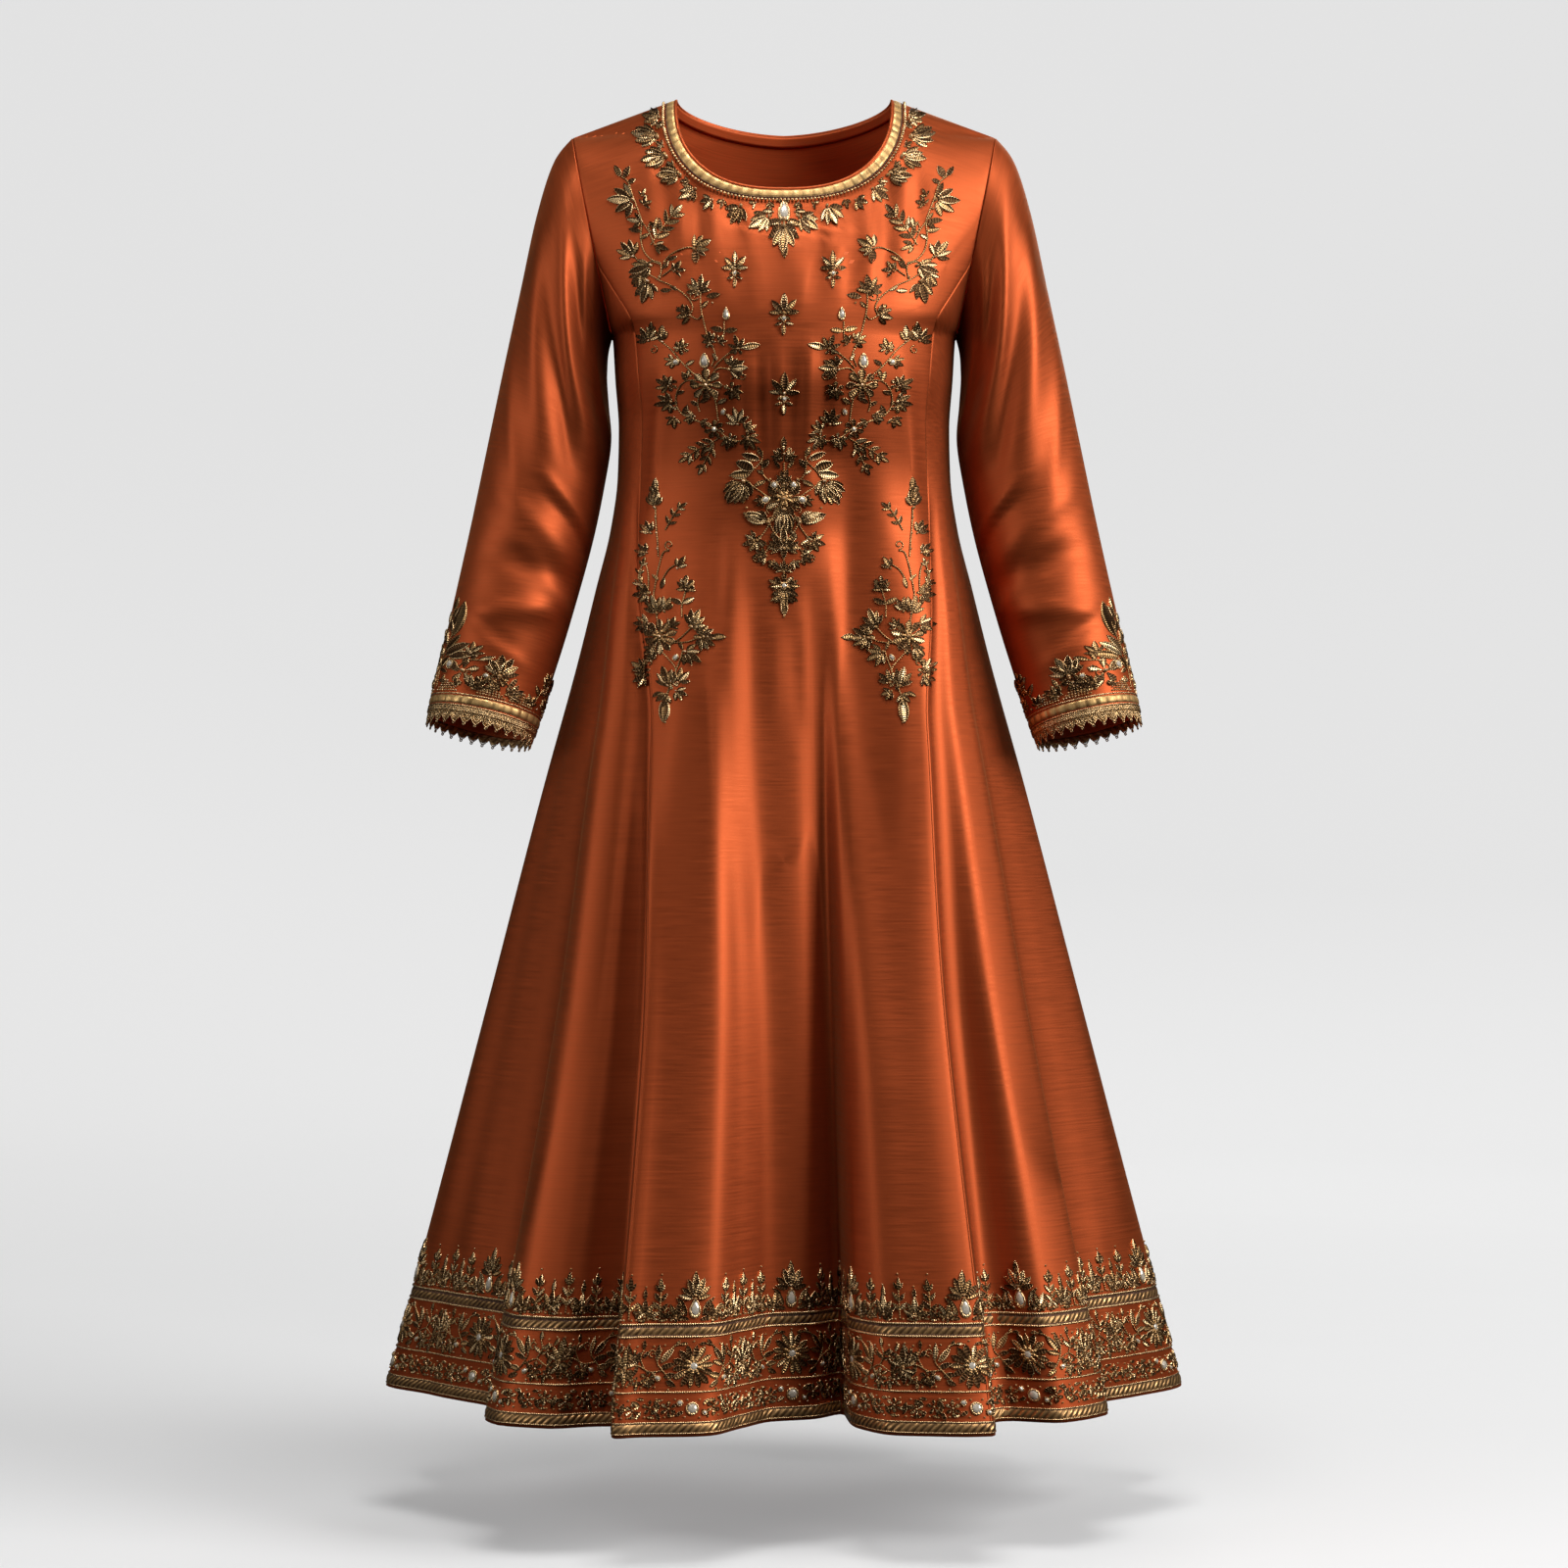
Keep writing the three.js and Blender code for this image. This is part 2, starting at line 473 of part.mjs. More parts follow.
// The top edge of a centre panel: shoulder, neckline beside the band, and the other shoulder
function topEdge(segments, isFront) {
  const neckSegments = segments - 2 * SHOULDER_SEGMENTS;
  const edge = Array.from({ length: segments + 1 }, (_, c) => {
    const fromSide = Math.min(c, segments - c);
    const side = c < segments / 2 ? -1 : 1;
    if (fromSide <= SHOULDER_SEGMENTS) {
      const x = mix(SHOULDER_TIP.x, NECK.halfWidth + NECK_BAND.width, fromSide / SHOULDER_SEGMENTS);
      return { x: side * x, z: shoulderZ(x) };
    }
    return neckline(mix(-90, 90, (c - SHOULDER_SEGMENTS) / neckSegments), isFront, NECK_BAND.width);
  });
  return edge.map(({ x, z }) => ({ z, angle: yokeAngle(x, z) }));
}

// A centre panel: the yoke from shoulder and neck down to the seam's top, and level rows from there on
function centrePanel(name) {
  const isFront = name === "front_centre";
  const lanes = PANEL_LANES[name];
  const edge = topEdge(lanes.length - 1, isFront);
  const tops = isFront ? edge : [...edge].reverse();
  const feet = lanes.map((lane) => {
    const angle = laneAngle(wrapLane(lane), SEAM_TOP);
    return isFront ? angle : Math.sign(angle) * (180 - Math.abs(angle)) || 0;
  });
  const yoke = Array.from({ length: ARMHOLE_STEPS + 1 }, (_, r) => {
    const share = (SHOULDER_TIP.z - armholeZ((360 * r) / SLEEVE_SIDES)) / (SHOULDER_TIP.z - SEAM_TOP);
    const places = tops.map((top, c) => ({
      angle: mix(top.angle, feet[c], share * share * (3 - 2 * share)),
      z: mix(top.z, SEAM_TOP, share),
    }));
    return rowOf(
      places.map(({ angle, z }) => yokePoint(angle, z, isFront)),
      places.map(({ angle, z }) => layInPlane(yokeOut(angle, z, isFront), Math.sign(angle) || 1)),
    );
  });
  const level = [...SEAM_ROWS.slice(1), ...SKIRT_ROWS].map((z) => levelRow(lanes, z));
  return standBack([...yoke, ...level], { top: () => true });
}

// A side panel hangs from the armhole between a panel seam and a side seam.
function sidePanel(name) {
  const lanes = PANEL_LANES[name];
  const [from, to] = [lanes[0], lanes[lanes.length - 1]];
  const seamFirst = Math.abs(to) === 90;
  const [seam, side] = seamFirst ? [from, to] : [to, from];
  const shares = lanes.map((lane) => (lane - seam) / (side - seam));
  const upper = SEAM_ROWS.slice(0, -1).map((seamZ, r) => {
    const points = [];
    const outs = [];
    shares.forEach((share) => {
      const fall = (SEAM_TOP - armholeZ(mix(SEAM_TURN, 180, share))) / (SEAM_TOP - ARMPIT.z);
      const z = mix(seamZ, SIDE_ROWS[r], fall);
      const spread = share === 0 ? 0 : share / (share + (1 - share) * SIDE_SPREAD[r]);
      const lane = mix(seam, side, spread);
      points.push(bodyPoint(lane, z, Math.abs(seam) < 90));
      outs.push(bodyOut(mix(seam, side, Math.min(spread, 0.985)), z));
    });
    return rowOf(points, outs);
  });
  upper[0].outs = upper[0].points.map((p) => sideEdgeOut(p));
  const level = [YOKE_END, ...SKIRT_ROWS].map((z) => levelRow(lanes, z));
  return standBack([...upper, ...level], { top: () => true });
}

// The body's outward direction along the foot of the armhole, which turns from the chest to the side seam
function sideEdgeOut(point) {
  const share = clamp((SEAM_TOP - point.z) / (SEAM_TOP - ARMPIT.z), 0, 1);
  const facing = point.y < 0 ? -1 : 1;
  const [across, ahead] = [Math.sign(point.x) * mix(0.75, 1, share), facing * mix(0.66, 0, share)];
  return new THREE.Vector3(across, ahead, 0).normalize();
}

for (const name of Object.keys(PANEL_LANES)) {
  const grid = name.endsWith("centre") ? centrePanel(name) : sidePanel(name);
  add(name, wall(grid), "silk");
}

// Reads the sleeve rings at a share of the sleeve's length.
function ringAt(share) {
  const place = clamp(share, 0, 1) * (SLEEVE_RINGS.length - 1);
  const i = Math.min(Math.floor(place), SLEEVE_RINGS.length - 2);
  const t = place - i;
  const row = (j) => SLEEVE_RINGS[clamp(j, 0, SLEEVE_RINGS.length - 1)];
  const column = (key) => {
    const [a, b, c, d] = [row(i - 1)[key], row(i)[key], row(i + 1)[key], row(i + 2)[key]];
    return hermite(b, c, (c - a) / 2, (d - b) / 2, t);
  };
  return Object.fromEntries(Object.keys(SLEEVE_RINGS[0]).map((key) => [key, column(key)]));
}

const SLEEVE_LENGTH = 540;
const SLEEVE_MEAN_RADIUS = 53;

// How far the sleeve's folds move its surface
function sleeveFold(share, angle) {
  const fade = clamp(share / 0.12, 0, 1) * clamp((0.9 - share) / 0.1, 0, 1);
  const across = rad(1) * SLEEVE_MEAN_RADIUS;
  return SLEEVE_FOLDS.reduce((sum, fold) => {
    const run = { s: (fold.toS - fold.fromS) * SLEEVE_LENGTH, a: (fold.toA - fold.fromA) * across };
    const at = { s: (share - fold.fromS) * SLEEVE_LENGTH, a: (angle - fold.fromA) * across };
    const length = Math.hypot(run.s, run.a);
    const t = (at.s * run.s + at.a * run.a) / length / length;
    const off = (at.a * run.s - at.s * run.a) / length / fold.width;
    const taper = t <= 0 || t >= 1 ? 0 : Math.sin(Math.PI * t);
    return sum + fade * fold.rise * taper * Math.exp(-off * off);
  }, 0);
}

// A point of a sleeve's outer face. side is 1 for the wearer's left and -1 for the right.
function sleeveBase(side, share, angle, extra = 0) {
  const ring = ringAt(share);
  const outer = new THREE.Vector3(ring.outX, -ring.forward, ring.outZ);
  const inner = new THREE.Vector3(ring.inX, -ring.forward, ring.inZ);
  const half = outer.clone().sub(inner).multiplyScalar(0.5);
  const front = new THREE.Vector3(0, -Math.cos(rad(ring.tip)), Math.sin(rad(ring.tip)));
  const point = inner.add(half).addScaledVector(half, Math.cos(rad(angle)) * (1 + extra / half.length()));
  point.addScaledVector(front, Math.sin(rad(angle)) * (ring.depth + extra));
  point.x *= side;
  return point;
}
const sleevePoint = (side, share, angle) =>
  sleeveBase(side, share, angle, sleeveFold(share, (angle + 360) % 360));

// A sleeve row, whose outward directions come from its neighbours along and around the arm
function sleeveRow(side, share, angles) {
  const surface = (s, a) => sleevePoint(side, s, a);
  const step = 0.004;
  const clipped = clamp(share, step, 1 - step);
  const outs = angles.map((angle) => outward(surface, clipped, angle, step, STEP).multiplyScalar(-side));
  return rowOf(angles.map((angle) => surface(share, angle)), outs);
}

const ringAngles = (count) => Array.from({ length: count }, (_, i) => (360 * i) / count);
const cuffShare = (height) => 1 - height / SLEEVE_LENGTH;
const SLEEVE_SHARES = [
  0, 0.05, 0.12, 0.2, 0.29, 0.38, 0.47, 0.55, 0.62, 0.68, 0.74, 0.8, 0.88,
  cuffShare(CUFF_BAND.to), cuffShare(CUFF_BAND.from), 1,
];

// The edging of a cuff: a pointed strip of lace that hangs below its edge
function laceGeometry(side) {
  const angles = ringAngles(2 * CUFF_LACE.teeth);
  const [cuff, before] = [1, 0.97].map((share) => angles.map((angle) => sleevePoint(side, share, angle)));
  const seat = sleeveRow(side, 1, angles);
  const down = cuff.map((p, i) => p.clone().sub(before[i]).normalize());
  const drop = (i) => (i % 2 ? CUFF_LACE.drop : CUFF_LACE.drop - CUFF_LACE.tooth);
  const inset = (p, i, by) => p.clone().addScaledVector(seat.outs[i], -by);
  const level = (by, depth) => cuff.map((p, i) => inset(p, i, by).addScaledVector(down[i], depth(i)));
  const faces = [0.2, 0.2 + CUFF_LACE.thickness].map((by) => [level(by, () => 0.4), level(by, drop)]);
  return shell(faces[0], faces[1], true);
}

for (const [name, side] of [["left", 1], ["right", -1]]) {
  const angles = ringAngles(SLEEVE_SIDES);
  const grid = SLEEVE_SHARES.map((share) => sleeveRow(side, share, angles));
  grid[0].points.forEach((p) => p.addScaledVector(armholePlane(side), ARMHOLE_GAP));
  grid[0].outs = grid[0].outs.map((out) => layInPlane(out, side, true));
  add(`sleeve_${name}`, wall(grid, CLOTH, 0, true), "silk");
  const bandRows = grid.slice(-3, -1);
  const band = wall(bandRows, -TRIM.thickness, CUFF_BAND.lift, true);
  add(`cuff_band_${name}`, band, "gold");
  add(`cuff_lace_${name}`, laceGeometry(side), "gold");
}

// The lanes of all panels in one ring, for what runs right round the skirt
const RING_LANES = [
  "front_side_right", "front_centre", "front_side_left", "back_side_left", "back_centre", "back_side_right",
].flatMap((name) => PANEL_LANES[name].slice(0, -1));

// A band round the skirt between two heights above the hem. Both edges lie on the panels' own straight lines.
function skirtBand({ low, high }, rowLow, rowHigh) {
  const [foot, head] = [rowLow, rowHigh].map((z) => levelRow(RING_LANES, z));
  const rowAt = (height) => {
    const t = (aboveHem(height) - rowLow) / (rowHigh - rowLow);
    return rowOf(
      foot.points.map((p, c) => p.clone().lerp(head.points[c], t)),
      foot.outs.map((n, c) => n.clone().lerp(head.outs[c], t).normalize()),
    );
  };
  return wall([rowAt(high), rowAt(low)], -TRIM.thickness, TRIM.lift, true);
}
add("hem_ribbon", skirtBand(HEM_RIBBON, -BODY_LENGTH, aboveHem(HEM_RIBBON.high)), "gold");
add("border_rail", skirtBand(BORDER_RAIL, aboveHem(BORDER_RAIL.low), aboveHem(BORDER_RAIL.high)), "gold");

// The neck's band, a ring from one neck point round the front to the other and on round the back. share is
// the way across the band, from the neck's edge to the panels.
function neckRow(turns, share) {
  const inset = 2 * HALF_GAP;
  const places = turns.map(({ turn, isFront }) => {
    const { x, z } = neckline(turn, isFront, mix(0, NECK_BAND.width - inset, share));
    const angle = yokeAngle(x, z);
    const out = Math.abs(turn) === 90 ? new THREE.Vector3(0, 0, 1) : yokeOut(angle, z, isFront);
    return { point: yokePoint(angle, z, isFront), out };
  });
  return rowOf(places.map((p) => p.point), places.map((p) => p.out));
}
function neckTurns(name) {
  const count = PANEL_LANES[name].length - 1 - 2 * SHOULDER_SEGMENTS;
  return Array.from({ length: count + 1 }, (_, i) => mix(-90, 90, i / count));
}
const frontTurns = neckTurns("front_centre").map((turn) => ({ turn, isFront: true }));
const backTurns = neckTurns("back_centre").map((turn) => ({ turn: -turn, isFront: false }));
const ring = [...frontTurns.slice(0, -1), ...backTurns.slice(0, -1)];
const bandLift = (NECK_BAND.thickness - CLOTH) / 2;
add("neck_band", wall([neckRow(ring, 0), neckRow(ring, 1)], NECK_BAND.thickness, bandLift, true), "gold");

// The facing inside the back neck, under the band from near one neck point to near the other
const facingTurns = backTurns.slice(1, -1);
const facingRows = [0.06, NECK_FACING.width / NECK_BAND.width].map((share) => neckRow(facingTurns, share));
const facingDepth = NECK_BAND.thickness - bandLift + NECK_FACING.clearance;
add("neck_facing", wall(facingRows, NECK_FACING.thickness, -facingDepth), "silk");

// A motif's shapes in the front view. side is 1 for the wearer's left and -1 for the right.
const outlineOf = {
  leaf: ({ x, z, size, turn }, side) => {
    const width = 0.2 * size + 1.2;
    const line = [[0, -0.6], [0.45, -1], [1, 0], [0.45, 1], [0, 0.6]];
    return line.map(([t, w]) => {
      const [forward, across] = [t * size - 1, w * width];
      const [sin, cos] = [Math.sin(rad(turn)), Math.cos(rad(turn))];
      return [side * (x + forward * sin + across * cos), z + forward * cos - across * sin];
    });
  },
  bloom: ({ x, z, size }, side) =>
    ringAngles(10).map((angle, i) => {
      const reach = size * (i % 2 ? 0.66 : 1);
      return [side * (x + reach * Math.sin(rad(angle))), z + reach * Math.cos(rad(angle))];
    }),
};
function stemOutlines(points, side) {
  return points.slice(1).map(([x, z], i) => {
    const [fromX, fromZ] = points[i];
    const length = Math.hypot(x - fromX, z - fromZ);
    const [ax, az] = [(x - fromX) / length, (z - fromZ) / length];
    const half = MOTIF.stem / 2;
    const ends = [[fromX - ax, fromZ - az], [x + ax, z + az]];
    return ends.flatMap(([ex, ez], k) =>
      (k ? [1, -1] : [-1, 1]).map((w) => [side * (ex + w * half * -az), ez + w * half * ax]),
    );
  });
}

// Lays a flat motif on the panels' outer face as a plate of its own.
const grounds = ["front_centre", "front_side_left", "front_side_right"];
const panels = grounds.map((name) => kurti.getObjectByName(name));
const caster = new THREE.Raycaster();
function cloth(x, z) {
  for (const nudge of [0, 1.5, -1.5]) {
    caster.set(new THREE.Vector3(x + nudge, -2 * BODY_LENGTH, z), new THREE.Vector3(0, 1, 0));
    const [hit] = caster.intersectObjects(panels, false);
    if (hit && hit.face.normal.y < -0.4) return { point: hit.point, out: hit.face.normal };
  }
  throw new Error(`no cloth under ${x}, ${z}`);
}
function addMotif(name, outlines) {
  const turned = (line) => THREE.ShapeUtils.area(line.map(([x, y]) => ({ x, y }))) < 0;
  const facing = outlines.map((line) => (turned(line) ? line.reverse() : line));
  const flat = wasm.CrossSection.union(facing.map((line) => new wasm.CrossSection([line]))).simplify(0.4);
  const plate = flat.extrude(MOTIF.thickness).refineToLength(MOTIF.longestEdge).warp((v) => {
    const { point, out } = cloth(v[0], v[1]);
    point.addScaledVector(out, MOTIF.lift + v[2]).toArray(v);
  });
  const { vertProperties, triVerts, numVert } = plate.getMesh();
  const geometry = new THREE.BufferGeometry();
  const positions = vertProperties.slice(0, 3 * numVert);
  geometry.setAttribute("position", new THREE.Float32BufferAttribute(positions, 3));
  geometry.setIndex([...triVerts]);
  add(name, geometry, "zari");
}
const drawn = (rows, stems, side) => [
  ...rows.map((row) => outlineOf[row.kind](row, side)),
  ...stems.flatMap((points) => stemOutlines(points, side)),
];
for (const [name, side] of [["left", 1], ["right", -1]]) {
  addMotif(`chest_vine_${name}`, drawn(VINE, VINE_STEMS, side));
  addMotif(`hip_spray_${name}`, drawn(HIP_SPRAY, HIP_STEMS, side));
}
addMotif("pendant", [
  ...[1, -1].flatMap((side) => drawn(PENDANT_SIDE, PENDANT_STEMS.slice(1), side)),
  ...drawn(PENDANT_MIDDLE, PENDANT_STEMS.slice(0, 1), 1),
]);
for (const { name, x, z, size } of BUTIS) {
  const leaves = BUTI_LEAVES.map((row) => ({ ...row, size: row.size * size }));
  const outlines = [1, -1].flatMap((side) => leaves.map((row) => outlineOf[row.kind](row, side)));
  addMotif(`buti_${name}`, outlines.map((line) => line.map(([u, w]) => [u + x, w + z])));
}

export default kurti;
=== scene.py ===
"""An a-line kurti in rust silk with raised metal-thread work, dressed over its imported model.

The pattern's own tables are in millimetres, +Z up, with the front facing -Y and the wearer's left at +X.
Meshes are made in metres.
"""

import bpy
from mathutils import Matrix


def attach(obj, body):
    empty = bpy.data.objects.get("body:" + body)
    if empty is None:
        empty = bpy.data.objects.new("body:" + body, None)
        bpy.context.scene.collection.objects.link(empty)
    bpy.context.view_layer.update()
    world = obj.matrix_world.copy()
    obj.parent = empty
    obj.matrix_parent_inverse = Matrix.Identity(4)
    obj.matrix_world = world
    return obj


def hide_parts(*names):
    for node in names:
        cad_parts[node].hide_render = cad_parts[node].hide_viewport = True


bl_info = {
    "name": "A-line Kurti",
    "version": (1, 0, 0),
    "blender": (4, 5, 0),
    "location": "3D View > Sidebar > Kurti",
    "description": "Cuts, sews and embroiders a long-sleeved a-line kurti over its packed model",
    "category": "Add Mesh",
}

import bpy
import numpy as np
from bpy.props import FloatProperty, FloatVectorProperty, IntProperty, PointerProperty
from mathutils import Vector
from mathutils.bvhtree import BVHTree

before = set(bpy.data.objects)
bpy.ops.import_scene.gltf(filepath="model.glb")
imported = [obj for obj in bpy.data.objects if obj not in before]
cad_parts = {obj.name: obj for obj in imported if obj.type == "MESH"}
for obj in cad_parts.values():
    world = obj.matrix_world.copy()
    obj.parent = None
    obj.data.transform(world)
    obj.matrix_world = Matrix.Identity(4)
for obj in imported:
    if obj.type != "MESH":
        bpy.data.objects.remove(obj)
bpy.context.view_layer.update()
MM = 0.001

# The cut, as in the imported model

NECK_HALF, FRONT_DROP, BACK_DROP, FRONT_SQUARE, BACK_SQUARE = 95, 90, 23, 2.5, 1.66
BAND_WIDTH = 11
TIP_X, TIP_Z, ARMPIT_X, ARMPIT_Z = 187, -33.5, 152, -211
ARMHOLE_HALF_DEPTH, SHOULDER_ROUND = 50, 80
HEM_Z, FOLD_TOP, FOLD_GROWTH, YOKE_END = -1138, -350, 1.15, -294
SHOULDER_SEGMENTS, ARMHOLE_STEPS, SEAM_TURN = 4, 7, 105
SLEEVE_LENGTH, SLEEVE_MEAN_RADIUS = 540, 53
SLEEVE_STEPS = 0.004, 1  # share and degrees between the places that give a sleeve's outward direction

# height: half width, front and back depth, and the two powers that shape a section
BODY = np.array([
    (0, 194, 60, 50, 2.5, 1), (-23, 190, 64, 58, 2.5, 1), (-90, 176, 80, 82, 2.4, 1),
    (-150, 164, 105, 95, 2.2, 0.8), (-211, 152, 121, 98, 2, 0.43), (-250, 149.5, 124, 95, 2, 0.43),
    (-294, 146.5, 116, 88, 2, 0.43), (-335, 147.5, 111, 87, 2, 0.44), (-381, 153.5, 112, 92, 2, 0.45),
    (-433, 166, 119, 104, 2, 0.46), (-503, 183, 130, 118, 2, 0.47), (-607, 211, 148, 138, 2, 0.48),
    (-781, 255, 178, 170, 2, 0.5), (-955, 299, 208, 203, 2, 0.5), (HEM_Z, 346, 240, 236, 2, 0.5),
])
ARMHOLE_MIDDLE, ARMHOLE_HALF = (TIP_Z + ARMPIT_Z) / 2, (TIP_Z - ARMPIT_Z) / 2
SEAM_TOP = TIP_Z + (ARMPIT_Z - TIP_Z) * (1 - np.cos(np.radians(SEAM_TURN))) / 2

# height: where the right, left and back seams stand, in degrees
SEAMS = np.array([
    (SEAM_TOP, 90, 90, 90), (-170, 72, 72, 68), (-211, 59, 59, 53), (-260, 58, 58, 48), (-335, 59, 59, 46),
    (-433, 47, 47, 41), (-557, 33, 34, 36), (-830, 21, 26, 32), (HEM_Z, 17.5, 23.3, 30),
])
HEM_RIGHT, HEM_LEFT, HEM_BACK = SEAMS[-1, 1:]
HEM_STOPS = np.array([-180, HEM_BACK - 180, -90, -HEM_RIGHT, HEM_LEFT, 90, 180 - HEM_BACK, 180])

# lane of cloth at the hem: how far a fold rises and leans
FOLDS = np.array([
    (-180, -32, -1), (-160, 42, 5), (-144, -22, -4), (-121, 38, 6), (-104, -22, -3), (-86, 7, -3),
    (-72, -22, 3), (-57, -29, 7), (-51, -23, 7), (-39.5, 38, -4), (-35, 50, -5), (-29, 46, -3),
    (-25.2, 24, 0), (-22.3, 17, 1), (-17.5, 75, -11), (-15.3, 66, -11), (-8.5, 47, -2), (-5, 10, -5),
    (-1.5, -25, -4), (4, -39, 4), (8, -62, 9), (11.5, 10, -10), (14, 44, -11), (17, 60, 1), (21, 72, 7),
    (23.3, 73, 4), (28, 13, 2), (30.5, 8, 5), (37, 36, 3), (46, 25, 4), (57, -25, 4), (69, -18, 0),
    (86, 6, 3), (100, -24, 3), (118, 36, -6), (133, -24, 4), (150, 46, -6), (172, -34, 0), (180, -32, -1),
])

# outer point, inner point, forward, depth and tip of each sleeve ring from armhole to cuff
SLEEVE_RINGS = np.array([
    (187, -33.5, 152, -211, 0, 50, 0), (204, -56, 155.5, -225, 0, 55, 0),
    (219, -103, 156.5, -244, 0, 58, 0), (234, -172, 155, -272, 0, 60, 0),
    (249, -242, 153, -303, 2, 60, 1), (263, -311, 158.5, -341, 6, 59, 3),
    (277, -381, 169.5, -395, 13, 56, 6), (291.5, -451, 188, -464, 26, 51, 9),
    (302, -500, 204, -517, 36, 47, 11), (311.5, -545, 218.5, -565, 46, 43, 11.5),
])
# soft ridges and hollows of a sleeve: from share and angle, to share and angle, rise, width
SLEEVE_FOLDS = [
    (0.08, 60, 0.55, 138, 4.5, 11), (0.1, 88, 0.5, 160, -4.5, 11), (0.2, 30, 0.62, 105, 4, 12),
    (0.24, 58, 0.6, 130, -4, 11), (0.6, 35, 0.72, 150, 3.5, 10), (0.7, 40, 0.74, 165, -4, 9),
    (0.8, 45, 0.77, 160, 3.5, 10), (0.15, 210, 0.6, 280, 4, 14), (0.2, 185, 0.65, 250, -4, 13),
    (0.66, 195, 0.7, 320, -4, 11),
]
# finer creases that only the cloth shows
SLEEVE_CREASES = [
    (0.03, 96, 0.36, 128, 2.2, 5), (0.05, 112, 0.4, 146, -2.4, 5), (0.12, 70, 0.46, 112, 2, 6),
    (0.2, 128, 0.5, 172, 2.2, 6), (0.3, 84, 0.58, 122, -2, 6), (0.38, 20, 0.66, 84, 1.8, 7),
    (0.55, 70, 0.68, 168, 2.2, 5), (0.6, 88, 0.7, 176, -2, 5), (0.66, 60, 0.76, 150, 2, 5),
    (0.72, 92, 0.78, 176, 1.8, 5), (0.78, 30, 0.86, 110, -1.6, 6), (0.84, 60, 0.9, 140, 1.4, 6),
    (0.5, 300, 0.64, 350, -1.8, 7), (0.6, 286, 0.7, 345, 1.8, 7), (0.3, 232, 0.56, 300, 2, 7),
    (0.7, 210, 0.8, 300, -1.8, 7),
]
# soft upright puckers of the front, below heavy stitching: x, top, bottom, drift, half width, rise
PUCKERS = [
    (-118, -58, -190, 4, 7, 2.4), (-104, -54, -176, 3, 7, -2.8), (-91, -66, -190, 3, 6, 3.0),
    (-76, -84, -200, 3, 6, -3.0), (-59, -100, -196, 2, 6, 3.0), (-43, -104, -190, 1, 5.5, -3.0),
    (-27, -108, -204, 0, 6, 2.8), (-12, -128, -206, 0, 5, -2.4), (13, -128, -210, 0, 5, 2.4),
    (28, -106, -200, 0, 6, -2.8), (44, -102, -192, -1, 5.5, 3.1), (59, -102, -200, -2, 6, -3.0),
    (76, -84, -206, -3, 6, 3.0), (91, -66, -194, -4, 6, -3.0), (105, -54, -180, -3, 7, 2.6),
    (118, -60, -188, -4, 7, -2.2), (-34, -222, -376, 6, 6, 3.0), (-20, -228, -366, 4, 5.5, -3.0),
    (-7, -218, -352, 2, 5, 2.2), (9, -236, -370, -2, 5, -2.4), (22, -222, -376, -4, 6, 3.2),
    (37, -228, -384, -7, 6, -2.8), (-56, -380, -500, -4, 8, -1.6), (-42, -392, -540, -3, 8, 1.8),
    (-24, -430, -560, -2, 7, -1.6), (24, -428, -545, 2, 8, -1.4), (40, -392, -520, 4, 10, 1.1),
    (-8, -462, -570, -1, 6, 1.4), (9, -464, -576, 1, 6, -1.4), (-104, -236, -420, -12, 8, 1.8),
    (-118, -250, -430, -14, 8, -2), (104, -236, -420, 12, 8, 1.8), (118, -250, -430, 14, 8, -2),
    (56, -310, -860, 26, 20, -13), (-104, -400, -880, -20, 17, -10), (-46, -380, -860, -6, 22, 4),
    (104, -380, -800, 38, 20, 5),
]


def read(rows, at):
    """Every column of a table at places in its first column, eased through the rows without overshoot."""
    rows = rows if rows[0, 0] < rows[-1, 0] else rows[::-1]
    x, y = rows[:, 0], rows[:, 1:]
    slope = np.diff(y, axis=0) / np.diff(x)[:, None]
    a, b = slope[:-1], slope[1:]
    middle = np.where(a * b > 0, 2 * a * b / np.where(a + b == 0, 1, a + b), 0)
    tangent = np.vstack([slope[:1], middle, slope[-1:]])
    at = np.clip(np.asarray(at, float), x[0], x[-1])
    i = np.clip(np.searchsorted(x, at, side="right") - 1, 0, len(x) - 2)
    step = (x[i + 1] - x[i])[..., None]
    t = (at - x[i])[..., None] / step
    return hermite(y[i], y[i + 1], tangent[i] * step, tangent[i + 1] * step, t)


def hermite(start, end, leave, arrive, t):
    """A smooth step from start to end with its slope at both ends."""
    return start + (end - start) * t * t * (3 - 2 * t) + t * (1 - t) * ((1 - t) * leave - t * arrive)


def mix(a, b, t):
    """A value a share of the way from a to b."""
    return a + (b - a) * t


def distances(line):
    """How far along a line of points each of them stands."""
    return np.concatenate([[0], np.cumsum(np.linalg.norm(np.diff(line, axis=0), axis=1))])


def shoulder_z(x):
    """The shoulder line's height."""
    return TIP_Z * (np.abs(x) - NECK_HALF) / (TIP_X - NECK_HALF)


def armhole_z(turn):
    """The armhole's height at a turn from 0 at the shoulder to 180 at the armpit."""
    return mix(TIP_Z, ARMPIT_Z, (1 - np.cos(np.radians(turn))) / 2)


def half_width(z):
    """Half the body's width at a height."""
    return np.where(z > ARMPIT_Z, mix(TIP_X, ARMPIT_X, (z - TIP_Z) / (ARMPIT_Z - TIP_Z)),
                    read(BODY, z)[..., 0])


